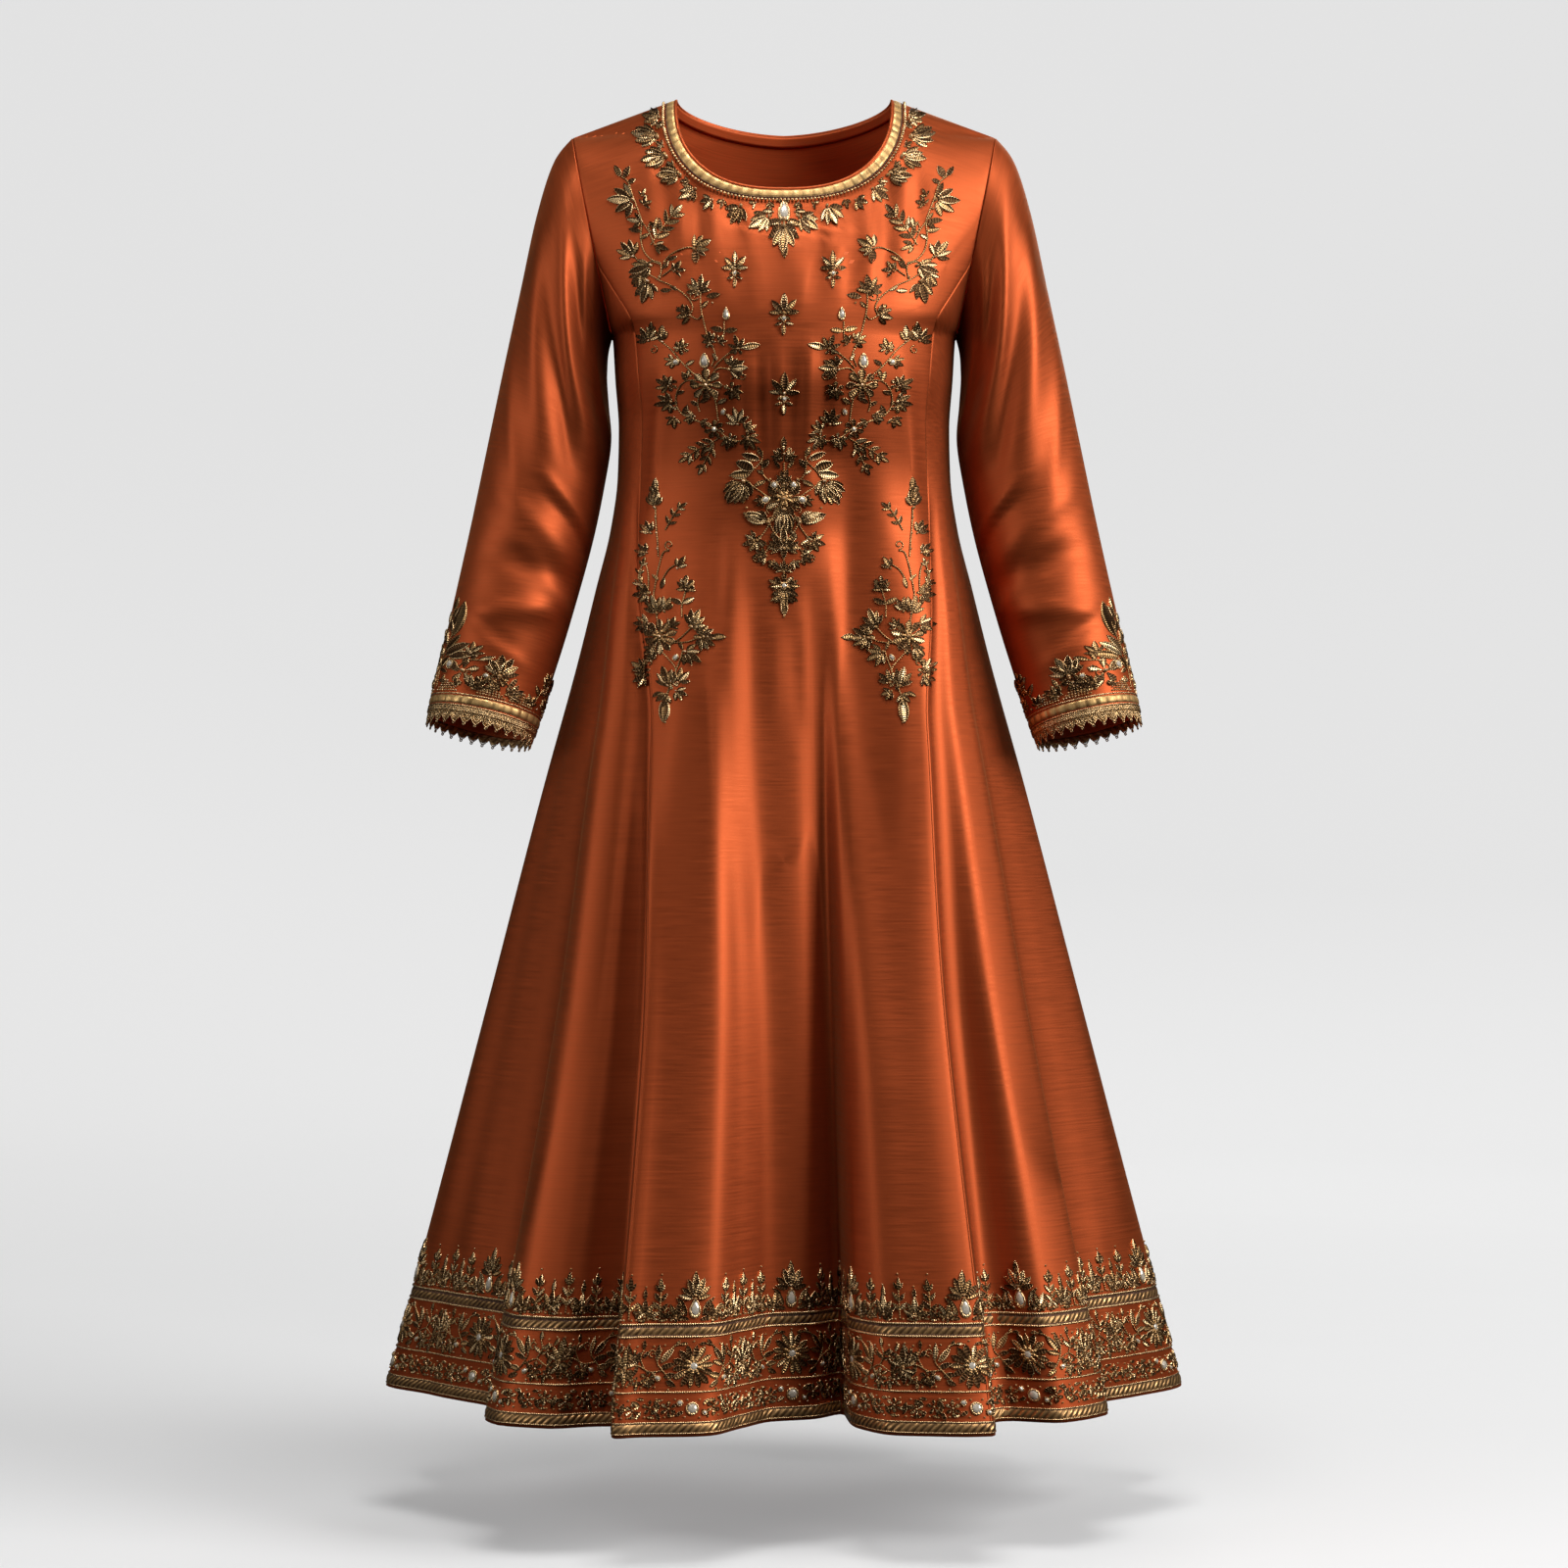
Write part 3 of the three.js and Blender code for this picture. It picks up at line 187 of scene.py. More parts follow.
def torso(angle, z, front):
    """The body before its folds, at an angle from centre front."""
    across = np.sin(np.radians(angle))
    _, ahead, behind, bend, turn = np.moveaxis(read(BODY, z), -1, 0)
    x = half_width(z) * across
    below = np.clip((shoulder_z(x) - z) / SHOULDER_ROUND, 0, 1)
    depth = np.where(front, ahead, behind) * np.sqrt(below * (2 - below))
    edge = ARMHOLE_HALF_DEPTH * np.sqrt(np.maximum(0, 1 - ((z - ARMHOLE_MIDDLE) / ARMHOLE_HALF) ** 2))
    y = edge + (depth - edge) * np.maximum(0, 1 - np.abs(across) ** bend) ** turn
    return np.stack([x, np.where(front, -y, y), z], -1)


def lane_angle(lane, z):
    """The angle of a lane of cloth at a height, between the seams on its two sides."""
    right, left, back = np.moveaxis(read(SEAMS, z), -1, 0)
    half_turn = np.full_like(right, 180)
    stops = np.stack([-half_turn, back - 180, -90 + 0 * back, -right, left, 90 + 0 * back, 180 - back,
                      half_turn], -1)
    i = np.clip(np.searchsorted(HEM_STOPS, lane, side="right"), 1, 7)
    low, high = HEM_STOPS[i - 1], HEM_STOPS[i]
    start = np.take_along_axis(stops, (i - 1)[..., None], -1)[..., 0]
    end = np.take_along_axis(stops, i[..., None], -1)[..., 0]
    return mix(start, end, (lane - low) / (high - low))


def wrapped(lane):
    """A lane as a number from -180 to 180."""
    return (np.asarray(lane, float) + 180) % 360 - 180


def puckers(x, z):
    """How far the small creases of the front move the cloth out."""
    total = np.zeros_like(x)
    for x0, top, bottom, drift, width, rise in PUCKERS:
        t = np.clip((top - z) / (top - bottom), 0, 1)
        total += rise * np.sin(np.pi * t ** 0.7) * np.exp(-(((x - x0 - drift * t) / width) ** 2))
    return total


def body(lane, z, front=None):
    """A point of the body's outer face on a lane of cloth, with its folds and creases."""
    lane, z = np.broadcast_arrays(wrapped(lane), np.asarray(z, float))
    front = np.abs(lane) <= 90 if front is None else front
    angle = lane_angle(lane, z)
    point = torso(angle, z, front)
    rise, lean = np.moveaxis(read(FOLDS, lane), -1, 0)
    flare = np.clip((FOLD_TOP - z) / (FOLD_TOP - HEM_Z), 0, 1) ** FOLD_GROWTH
    ripple = 1.2 * np.sin(np.radians(lane * 9.3 + 40))
    ripple = ripple + 0.5 * np.sin(np.radians(lane * 17.1 + z * 0.06))
    ripple = ripple + 0.25 * np.sin(np.radians(lane * 31 - z * 0.1))
    rise = rise + ripple * np.clip((z - HEM_Z) / 60, 0.25, 1)
    sin, cos = np.sin(np.radians(angle)), np.cos(np.radians(angle))
    small = np.where(front, puckers(point[..., 0], z), 0)
    point[..., 0] += flare * (rise * sin + lean * cos) + small * sin
    point[..., 1] += flare * (lean * sin - rise * cos) - small * np.abs(cos)
    return point


def neckline(turn, front, distance):
    """The neck's edge in the front view, from one neck point at -90 to the other at 90, moved out."""
    power = np.where(front, 2 / FRONT_SQUARE, 2 / BACK_SQUARE)
    sin, cos = np.sin(np.radians(turn)), np.cos(np.radians(turn))
    drop = np.where(front, FRONT_DROP, BACK_DROP) + distance
    half = NECK_HALF + distance
    return half * np.sign(turn) * np.abs(sin) ** power, mix(shoulder_z(half), -drop, np.abs(cos) ** power)


def on_yoke(x, z, front):
    """A place of the front view on the yoke of the front or the back."""
    angle = np.degrees(np.arcsin(np.clip(x / half_width(z), -1, 1)))
    return torso(np.where(front, angle, 180 - angle), z, front)


def crease_sum(table, share, angle, fade):
    """How far a table of creases moves a sleeve out."""
    around = np.radians(1) * SLEEVE_MEAN_RADIUS
    total = np.zeros(np.broadcast(share, angle).shape)
    for from_s, from_a, to_s, to_a, rise, width in table:
        run_s, run_a = (to_s - from_s) * SLEEVE_LENGTH, (to_a - from_a) * around
        at_s, at_a = (share - from_s) * SLEEVE_LENGTH, (angle - from_a) * around
        length = np.hypot(run_s, run_a)
        t = (at_s * run_s + at_a * run_a) / length ** 2
        off = (at_a * run_s - at_s * run_a) / length / width
        total += fade * rise * np.sin(np.pi * np.clip(t, 0, 1)) * np.exp(-off * off)
    return total


def sleeve(side, share, angle):
    """A point of a sleeve's outer face. 0 degrees is the arm's outer side and 90 its front."""
    share, angle = np.broadcast_arrays(np.asarray(share, float), np.asarray(angle, float))
    angle = angle % 360
    last = len(SLEEVE_RINGS) - 1
    place = np.clip(share, 0, 1) * last
    i = np.minimum(place.astype(int), last - 1)
    a, b, c, d = (SLEEVE_RINGS[np.clip(i + k, 0, last)] for k in (-1, 0, 1, 2))
    ring = hermite(b, c, (c - a) / 2, (d - b) / 2, (place - i)[..., None])
    out_x, out_z, in_x, in_z, forward, depth, tip = np.moveaxis(ring, -1, 0)
    extra = crease_sum(SLEEVE_FOLDS, share, angle,
                       np.clip(share / 0.12, 0, 1) * np.clip((0.9 - share) / 0.1, 0, 1))
    extra += crease_sum(SLEEVE_CREASES, share, angle,
                        np.clip(share / 0.05, 0, 1) * np.clip((0.93 - share) / 0.06, 0, 1))
    half_x, half_z = (out_x - in_x) / 2, (out_z - in_z) / 2
    reach = np.cos(np.radians(angle)) * (1 + extra / np.hypot(half_x, half_z))
    swing = np.sin(np.radians(angle)) * (depth + extra)
    tip = np.radians(tip)
    x = in_x + half_x * (1 + reach)
    y = -forward - np.cos(tip) * swing
    z = in_z + half_z * (1 + reach) + np.sin(tip) * swing
    return np.stack([side * x, y, z], -1)


# Cloth as thin shells


def unit(v):
    return v / np.maximum(np.linalg.norm(v, axis=-1, keepdims=True), 1e-9)


def grid_out(grid, inside):
    """The outward direction at each point of a grid, facing away from a point inside."""
    down = np.gradient(grid, axis=0)
    across = np.gradient(grid, axis=1)
    out = unit(np.cross(across, down))
    return out if ((grid - inside) * out).sum() > 0 else -out


def mesh_object(name, points, faces, uv, materials, marks=None):
    """Makes an object from points in millimetres."""
    mesh = bpy.data.meshes.new(name)
    mesh.from_pydata((points * MM).tolist(), [], faces.tolist())
    layer = mesh.uv_layers.new(name="thread")
    corner = np.zeros(len(mesh.loops), np.int32)
    mesh.loops.foreach_get("vertex_index", corner)
    layer.data.foreach_set("uv", np.asarray(uv, np.float32)[corner].ravel())
    for material in materials:
        mesh.materials.append(material)
    if marks is not None:
        mesh.polygons.foreach_set("material_index", np.asarray(marks, np.int32))
    mesh.polygons.foreach_set("use_smooth", np.ones(len(mesh.polygons), bool))
    mesh.update()
    made = bpy.data.objects.new(name, mesh)
    bpy.context.scene.collection.objects.link(made)
    return made


def grid_faces(rows, cols, start=0, loop=False, flip=False):
    """The four-cornered faces of a grid of points."""
    spans = cols if loop else cols - 1
    r, c = np.meshgrid(np.arange(rows - 1), np.arange(spans), indexing="ij")
    n = (c + 1) % cols
    quads = np.stack([r * cols + c, (r + 1) * cols + c, (r + 1) * cols + n, r * cols + n],
                     -1).reshape(-1, 4) + start
    return quads[:, ::-1] if flip else quads


def cloth_shell(name, grid, out, thickness, uv, material, loop=False):
    """A thin shell whose outer face is the grid, closed along its edges."""
    rows, cols = grid.shape[:2]
    inner = grid - out * thickness
    points = np.concatenate([grid.reshape(-1, 3), inner.reshape(-1, 3)])
    count = rows * cols
    across, down = grid[rows // 2, 1] - grid[rows // 2, 0], grid[rows // 2 + 1, 0] - grid[rows // 2, 0]
    flip = np.dot(np.cross(down, across), out[rows // 2, 0]) < 0
    faces = [grid_faces(rows, cols, 0, loop, flip), grid_faces(rows, cols, count, loop, not flip)]
    edge = [np.arange(cols), (rows - 1) * cols + np.arange(cols)[::-1]]
    if loop:
        edge = [np.append(e, e[0]) for e in edge]
    else:
        edge += [np.arange(rows)[::-1] * cols, np.arange(rows) * cols + cols - 1]
    for line in edge:
        quads = np.stack([line[:-1], line[1:], line[1:] + count, line[:-1] + count], -1)
        faces.append(quads[:, ::-1] if flip else quads)
    both = np.concatenate([uv.reshape(-1, 2)] * 2)
    # the inner faces take the matt wrong side, whose lighter colour is painted light
    wrong_side = np.zeros(sum(len(group) for group in faces), int)
    wrong_side[len(faces[0]):len(faces[0]) + len(faces[1])] = 1
    return mesh_object(name, points, np.concatenate(faces), both, [material, finish("silk_wrong_side_painted_light")],
                       wrong_side)


def grid_uv(grid):
    """Metres across and down the cloth, for its yarns."""
    across = np.linalg.norm(np.diff(grid, axis=1), axis=-1)
    down = np.linalg.norm(np.diff(grid, axis=0), axis=-1)
    u = np.concatenate([np.zeros((1,)), np.cumsum(across.mean(0))])
    v = np.concatenate([np.zeros((1,)), np.cumsum(down.mean(1))])
    return np.stack(np.meshgrid(u, v), -1) * MM


def even_lanes(start, end, spans):
    """Reads lanes that stand evenly along the hem, at a place from 0 to spans."""
    lanes = np.linspace(start, end, 1200)
    length = distances(body(lanes, HEM_Z))
    return lambda place: np.interp(np.asarray(place) / spans * length[-1], length, lanes)


def seam_dip(points, out, columns, last):
    """Draws a panel's edges in towards the seam that holds them."""
    near = np.minimum(columns, last - columns)
    return points - out * (0.4 * np.exp(-((near / 0.16) ** 2)))[None, :, None]


def columns_for(spans, fine):
    """Column places with extra ones beside both seams."""
    inner = np.arange(1, spans * fine) / fine
    return np.unique(np.concatenate([[0, 0.06, 0.14], inner, [spans - 0.14, spans - 0.06, spans]]))


def centre_grid(front, spans, lanes, settings):
    """The points of a centre panel, from the shoulders and the neck's edge to the hem."""
    columns = columns_for(spans, settings.columns_per_gore)
    neck_spans = spans - 2 * SHOULDER_SEGMENTS
    from_side = np.minimum(columns, spans - columns)
    side = np.where(columns < spans / 2, -1, 1)
    shoulder_x = side * mix(TIP_X, NECK_HALF + BAND_WIDTH, from_side / SHOULDER_SEGMENTS)
    turn = mix(-90, 90, np.clip((columns - SHOULDER_SEGMENTS) / neck_spans, 0, 1))
    neck_x, neck_z = neckline(turn, front, BAND_WIDTH - 0.4)
    on_shoulder = from_side <= SHOULDER_SEGMENTS
    top_x = np.where(on_shoulder, shoulder_x, neck_x)
    top_z = np.where(on_shoulder, shoulder_z(shoulder_x), neck_z)
    angle = np.degrees(np.arcsin(np.clip(top_x / half_width(top_z), -1, 1)))
    lane = lanes(columns)
    if not front:
        angle, top_z = angle[::-1], top_z[::-1]
    foot = lane_angle(wrapped(lane), np.full_like(lane, SEAM_TOP))
    foot = foot if front else np.where(np.abs(foot) >= 180, 0, np.sign(foot) * (180 - np.abs(foot)))
    share = (TIP_Z - armhole_z(15 * np.arange(0, ARMHOLE_STEPS + 1e-6, 0.25))) / (TIP_Z - SEAM_TOP)
    ease = (share * share * (3 - 2 * share))[:, None]
    angles = mix(angle[None, :], foot[None, :], ease)
    z = mix(top_z[None, :], SEAM_TOP, share[:, None])
    yoke = torso(angles if front else 180 - angles, z, front)
    if front:
        below_edge = np.clip(share * 3, 0, 1)[:, None]
        yoke[..., 1] -= puckers(yoke[..., 0], z) * np.cos(np.radians(angles)) * below_edge
    level_z = np.linspace(SEAM_TOP, HEM_Z, int((SEAM_TOP - HEM_Z) / settings.row_height))[1:]
    return np.concatenate([yoke, body(lane[None, :], level_z[:, None], front)]), columns


SIDE_ROWS = np.array([
    (0, SEAM_TOP, ARMPIT_Z, 0), (1, -178, -229, 0.35), (2, -211, -248, 0.62), (3, -250, -270, 0.84),
    (4, YOKE_END, YOKE_END, 1),
])


def side_grid(front, spans, lanes, settings):
    """The points of a side panel, from the armhole to the hem."""
    columns = columns_for(spans, settings.columns_per_gore)
    lane = lanes(columns)
    seam, side = (lane[0], lane[-1]) if abs(abs(lane[-1]) - 90) < 1e-6 else (lane[-1], lane[0])
    share = (lane - seam) / (side - seam)
    seam_z, side_z, spread = np.moveaxis(read(SIDE_ROWS, np.arange(0, 4, 0.125)), -1, 0)
    fall = (SEAM_TOP - armhole_z(mix(SEAM_TURN, 180, share))) / (SEAM_TOP - ARMPIT_Z)
    z = mix(seam_z[:, None], side_z[:, None], fall[None, :])
    reach = share / np.maximum(share + (1 - share) * spread[:, None], 1e-9)
    upper = body(mix(seam, side, np.where(share == 0, 0, reach)), z, front)
    level_z = np.linspace(YOKE_END, HEM_Z, int((YOKE_END - HEM_Z) / settings.row_height))
    return np.concatenate([upper, body(lane[None, :], level_z[:, None], front)]), columns


# Finishes


def add(tree, kind, inputs=None, **settings):
    """Adds a shader node. An input is a value or another node's output."""
    node = tree.nodes.new(kind)
    for key, value in settings.items():
        setattr(node, key, value)
    for key, value in (inputs or {}).items():
        if isinstance(value, bpy.types.NodeSocket):
            tree.links.new(value, node.inputs[key])
        else:
            node.inputs[key].default_value = value
    return node


def blank(name, constants):
    """A material whose principled shader has these constant values."""
    material = bpy.data.materials.new(name)
    material.use_nodes = True
    tree = material.node_tree
    shader = tree.nodes["Principled BSDF"]
    for key, value in constants.items():
        shader.inputs[key].default_value = value
    return material, tree, shader


def grain(tree, scale, detail, source="UV"):
    """Noise on the thread map, which is in metres, or on the object where source is Object."""
    if source == "UV":
        place = add(tree, "ShaderNodeUVMap", uv_map="thread").outputs["UV"]
    else:
        place = add(tree, "ShaderNodeTexCoord").outputs[source]
    place = add(tree, "ShaderNodeMapping", {"Vector": place, "Scale": scale}).outputs["Vector"]
    return add(tree, "ShaderNodeTexNoise", {"Vector": place, "Scale": 1.0, "Detail": detail,
                                            "Roughness": 0.55}).outputs["Fac"]


def between(tree, value, low, high, start=0.3, end=0.7):
    """Maps a value from one span onto another, and holds it at the ends."""
    return add(tree, "ShaderNodeMapRange", {"Value": value, "From Min": start, "From Max": end,
                                            "To Min": low, "To Max": high}).outputs["Result"]


def blend_colour(tree, share, a, b):
    """A colour, or another node's colour, mixed with a second one by a share."""
    node = add(tree, "ShaderNodeMix", data_type="RGBA")
    for socket, value in ((node.inputs[0], share), (node.inputs[6], a), (node.inputs[7], b)):
        if isinstance(value, bpy.types.NodeSocket):
            tree.links.new(value, socket)
        elif socket.type == "RGBA":
            socket.default_value = (*value[:3], 1)
        else:
            socket.default_value = value
    return node.outputs[2]


def ribs(tree, per_metre, direction):
    """Fine even ribs across a wound thread, as a value from 0 to 1."""
    place = add(tree, "ShaderNodeUVMap", uv_map="thread").outputs["UV"]
    return add(tree, "ShaderNodeTexWave", {"Vector": place, "Scale": per_metre, "Distortion": 0.0},
               bands_direction=direction).outputs["Fac"]


def relief(tree, shader, height, distance, strength=1.0, under=None):
    """Bump on a finish, on top of another bump where one is given."""
    inputs = {"Height": height, "Distance": distance, "Strength": strength}
    if under is not None:
        inputs["Normal"] = under
    bump = add(tree, "ShaderNodeBump", inputs).outputs["Normal"]
    tree.links.new(bump, shader.inputs["Normal"])
    return bump


def silk_finish(look, name, lustre, painted_light_lift):
    """Dupion silk: slubs along the weft, a fine grain, and a warm sheen that its wrong side lacks; lighter
    copies are painted light.
    """
    material, tree, shader = blank(name, {
        "Metallic": lustre, "Specular IOR Level": 0.3, "Specular Tint": (1.0, 0.82, 0.56, 1),
        "Sheen Weight": 0.08, "Sheen Roughness": 0.4, "Sheen Tint": (1.0, 0.6, 0.25, 1),
        "Anisotropic": 0.35,
    })
    slub = grain(tree, (26, 620, 1), 3)
    short_slub = grain(tree, (90, 1300, 1), 2)
    cloudy = grain(tree, (3.1, 2.3, 1), 2)
    warp = grain(tree, (1500, 40, 1), 2)
    # painted light: a factor above 1 makes both tones a lighter copy of the silk, for the wrong side seen in
    # the shade inside the neck
    deep = [c * 0.86 * painted_light_lift for c in look.colour[:3]]
    light = [min(1, c * 1.1 * painted_light_lift) for c in look.colour[:3]]
    tone = blend_colour(tree, between(tree, slub, 0, 1), deep, light)
    tone = blend_colour(tree, between(tree, short_slub, 0, 0.5, 0.55, 0.8), tone, light)
    tone = blend_colour(tree, between(tree, cloudy, 0, 0.3), tone, deep)
    tree.links.new(tone, shader.inputs["Base Color"])
    tree.links.new(between(tree, slub, look.roughness - 0.04, look.roughness + 0.07),
                   shader.inputs["Roughness"])
    under = relief(tree, shader, slub, 0.0002, look.slub)
    relief(tree, shader, warp, 0.0001, look.slub * 0.6, under)
    return material


def gold_finish(name, deep, light, rib, roughness, metal, rib_depth, direction, wear):
    """Metal thread or gilt ribbon with wound ribs, painted darker in the rib grooves as shade, and tarnished
    at random.
    """
    material, tree, shader = blank(name, {"Metallic": metal, "Specular IOR Level": 0.5})
    wound = ribs(tree, rib, direction)
    worn = grain(tree, (160, 160, 160), 3, source="Object")
    broad = grain(tree, (34, 34, 34), 2, source="Object")
    # painted shade: the colour runs from the deep one in each rib groove to the light one on each rib
    tone = blend_colour(tree, wound, deep, light)
    tone = blend_colour(tree, between(tree, worn, 0, wear), tone, deep)
    tone = blend_colour(tree, between(tree, broad, 0, 0.35), tone, light)
    tree.links.new(tone, shader.inputs["Base Color"])
    tree.links.new(between(tree, worn, roughness - 0.08, roughness + 0.16), shader.inputs["Roughness"])
    relief(tree, shader, wound, rib_depth)
    return material


def stone_finish(name, colour, roughness, cloud):
    """Foil-backed glass stone."""
    material, tree, shader = blank(name, {"Metallic": 0.15, "IOR": 1.6, "Coat Weight": 0.8,
                                          "Coat Roughness": 0.06})
    veil = grain(tree, (420, 420, 420), 2, source="Object")
    tone = blend_colour(tree, between(tree, veil, 0, cloud), colour, [c * 0.55 for c in colour])
    tree.links.new(tone, shader.inputs["Base Color"])
    tree.links.new(between(tree, veil, roughness, roughness + 0.15), shader.inputs["Roughness"])
    relief(tree, shader, veil, 0.0002, 0.4)
    return material


GLOW = (1.3, 0.29), (3.4, 0.53)  # metres from the neck and the strength there, near and far


def floor_finish(studio):
    """Matt pale paper that glows a little, more so far from the dress."""
    colour = studio.paper[:3]
    material, tree, shader = blank("pale_studio_floor",
                                   {"Specular IOR Level": 0.1, "Emission Color": (1, 1, 1, 1)})
    place = add(tree, "ShaderNodeTexCoord").outputs["Object"]
    away = add(tree, "ShaderNodeVectorMath", {0: place}, operation="LENGTH").outputs["Value"]
    (near, dim), (far, bright) = GLOW
    glow = between(tree, away, dim, bright, near, far)
    tree.links.new(glow, shader.inputs["Emission Strength"])
    mottled = grain(tree, (1.3, 1.3, 1.3), 4, source="Object")
    tone = blend_colour(tree, between(tree, mottled, 0, 1), colour, [c * 0.985 for c in colour])
    tree.links.new(tone, shader.inputs["Base Color"])
    tree.links.new(between(tree, mottled, 0.7, 0.85), shader.inputs["Roughness"])
    return material


# share of the lustre, and how much lighter the colour is: the matt wrong side's lighter colour is painted
# light
SILKS = {"rust_dupion_silk": (1, 1.0), "silk_wrong_side_painted_light": (0, 1.9)}
# colour of the painted shade in the rib grooves, also taken by random tarnish, or its share of the ribs'
# colour, then that colour, ribs, roughness, metal, depth, direction and wear
GOLDS = {
    "antique_coil": (0.14, "antique", 150, 0.3, 0.9, 0.00025, "X", 0.75),
    "bright_coil": (0.4, "bright", 170, 0.22, 0.9, 0.00025, "X", 0.3),
    # a dark coil: a darker thread in some veins, and painted shade in every leaf's hollows
    "dark_coil_and_shade": ((0.02, 0.008, 0.003), (0.14, 0.065, 0.022), 130, 0.4, 0.9, 0.00025, "X", 0.75),
    "gilt_ribbon": ((0.36, 0.2, 0.07), (0.8, 0.52, 0.21), 34.9, 0.44, 0.75, 0.0004, "X", 0.75),
    "wave_gimp": ((0.06, 0.025, 0.01), "antique", 105, 0.36, 0.8, 0.0005, "DIAGONAL", 0.75),
    "crochet_web": ((0.26, 0.13, 0.045), (0.86, 0.57, 0.25), 90, 0.45, 0.7, 0.0004, "DIAGONAL", 0.4),
    # a dark cord at the neck, and painted shade in the low grooves beside the cords of the hem and cuffs
    "dark_piping_and_groove_shade": ((0.03, 0.012, 0.006), (0.17, 0.07, 0.03), 150, 0.5, 0.5, 0.00025, "X", 0.75),
}
# colour, roughness and how cloudy it is
STONES = {"seed_bead": ((0.5, 0.27, 0.1), 0.14, 0.6), "cut_stone": ((0.66, 0.58, 0.47), 0.08, 0.6)}


def finish(name):
    """A finish made once and shared by every piece that takes it."""
    if name not in bpy.data.materials:
        look = bpy.context.scene.kurti_look
        threads = bpy.context.scene.kurti_threads
        if name in SILKS:
            lustrous, painted_light_lift = SILKS[name]
            made = silk_finish(look, name, look.lustre * lustrous, painted_light_lift)
        elif name in STONES:
            made = stone_finish(name, *STONES[name])
        else:
            deep, light, *rest = GOLDS[name]
            colour = {"antique": threads.antique[:3], "bright": threads.bright[:3]}.get(light, light)
            if isinstance(deep, float):
                deep = [c * deep for c in colour]
            made = gold_finish(name, deep, colour, *rest)
        assert made.name == name
    return bpy.data.materials[name]


# Trims


def surface_out(surface, a, b, step_a, step_b, toward):
    """The outward direction of a surface of two numbers, on the side of a rough direction."""
    along = surface(a + step_a, b) - surface(a - step_a, b)
    across = surface(a, b + step_b) - surface(a, b - step_b)
    out = unit(np.cross(along, across))
    return out * np.sign((out * toward).sum(-1, keepdims=True) + 1e-9)


def swept(name, start, end, out, profile, finishes, ripple=None):
    """Sweeps a cross section round two closed rails. A profile row is (share across, height, finish)."""
    shares = np.array([row[0] for row in profile])
    heights = np.array([row[1] for row in profile])[None, :]
    middle = mix(start, end, 0.5)
    ahead = np.roll(middle, -1, 0)
    run = np.concatenate([[0], np.cumsum(np.linalg.norm(ahead - middle, axis=1))[:-1]])
    if ripple is not None:
        heights = heights + ripple(run[:, None], shares[None, :])
    width = np.linalg.norm(end - start, axis=1).mean()
    across = shares[None, :, None]
    points = start[:, None] + (end - start)[:, None] * across + out[:, None] * heights[..., None]
    rows, cols = points.shape[:2]
    uv = np.stack(np.broadcast_arrays(run[:, None], shares[None, :] * width), -1) * MM
    r, c = np.meshgrid(np.arange(rows), np.arange(cols), indexing="ij")
    nr, nc = (r + 1) % rows, (c + 1) % cols
    faces = np.stack([r * cols + c, nr * cols + c, nr * cols + nc, r * cols + nc], -1).reshape(-1, 4)
    marks = np.array([row[2] for row in profile])[c].reshape(-1)
    turned = np.dot(np.cross(points[1, 1] - points[0, 1], points[0, 2] - points[0, 1]), out[0]) < 0
    return mesh_object(name, points.reshape(-1, 3), faces[:, ::-1] if turned else faces, uv.reshape(-1, 2),
                       [finish(f) for f in finishes], marks)


def folded(pitch, depth):
    """The small cross folds of a gathered gilt ribbon."""
    def ripple(run, share):
        part = (run / pitch) % 1
        mask = np.exp(-(((share - 0.5) / 0.3) ** 6))
        return mask * (depth * (part - 0.5) - 0.5 * depth * np.exp(-((part - 0.5) / 0.06) ** 2))
    return ripple


def cord_profile(centre, radius, width, mark, count=5):
    """Part of a profile: a round cord lying on the band."""
    angles = np.linspace(np.pi, 0, count)
    return [(centre + radius * np.cos(a) / width, 0.35 + radius * 1.1 * np.sin(a), mark) for a in angles]


def tubes(paths, radius, sides=6):
    """Round threads along paths of points in mm, as points, faces and thread map."""
    points, faces, uv, count = [], [], [], 0
    for path in paths:
        path = np.asarray(path, float)
        ahead = unit(np.gradient(path, axis=0))
        side = unit(np.cross(ahead, np.where(np.abs(ahead[:, :1]) > 0.8, [0, 0, 1.0], [1.0, 0, 0])))
        up = np.cross(ahead, side)
        angle = np.arange(sides) * 2 * np.pi / sides
        ring = path[:, None] + radius * (side[:, None] * np.cos(angle)[None, :, None]
                                         + up[:, None] * np.sin(angle)[None, :, None])
        run = distances(path)
        points.append(ring.reshape(-1, 3))
        faces.append(grid_faces(len(path), sides, count, loop=True))
        uv.append(np.stack(np.broadcast_arrays(run[:, None] * MM, angle[None, :] * radius * MM),
                           -1).reshape(-1, 2))
        count += len(path) * sides
    return np.concatenate(points), np.concatenate(faces), np.concatenate(uv)


def hang(piece, slot, *nodes):
    """A finished piece rides on the dress and stands for its solids, which it hides. Its slot is not used.
    """
    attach(piece, "root")
    if nodes:
        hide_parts(*nodes)
    return piece


# Needlework


def leaf_form(stations, across, kinds, fullest=0.85):
    """A padded leaf of unit length: along, across, height, faces and their kinds, rim, hollow or vein."""
    t = np.linspace(0, 1, stations)
    width = np.maximum(np.sin(np.pi * t ** fullest) ** 0.66, 0.1)
    width[[0, -1]] = (0.16, 0.05)
    s = np.array([row[0] for row in across])
    h = np.array([row[1] for row in across])
    grid_t, grid_s = np.meshgrid(t, s, indexing="ij")
    height = h[None, :] * np.sin(np.pi * (0.1 + 0.8 * t))[:, None] ** 0.5
    height[:, [0, -1]] = -0.25
    faces = grid_faces(stations, len(s))
    kinds = np.resize(list(kinds), len(faces))
    return grid_t.ravel(), (grid_s * width[:, None]).ravel(), height.ravel(), faces, kinds


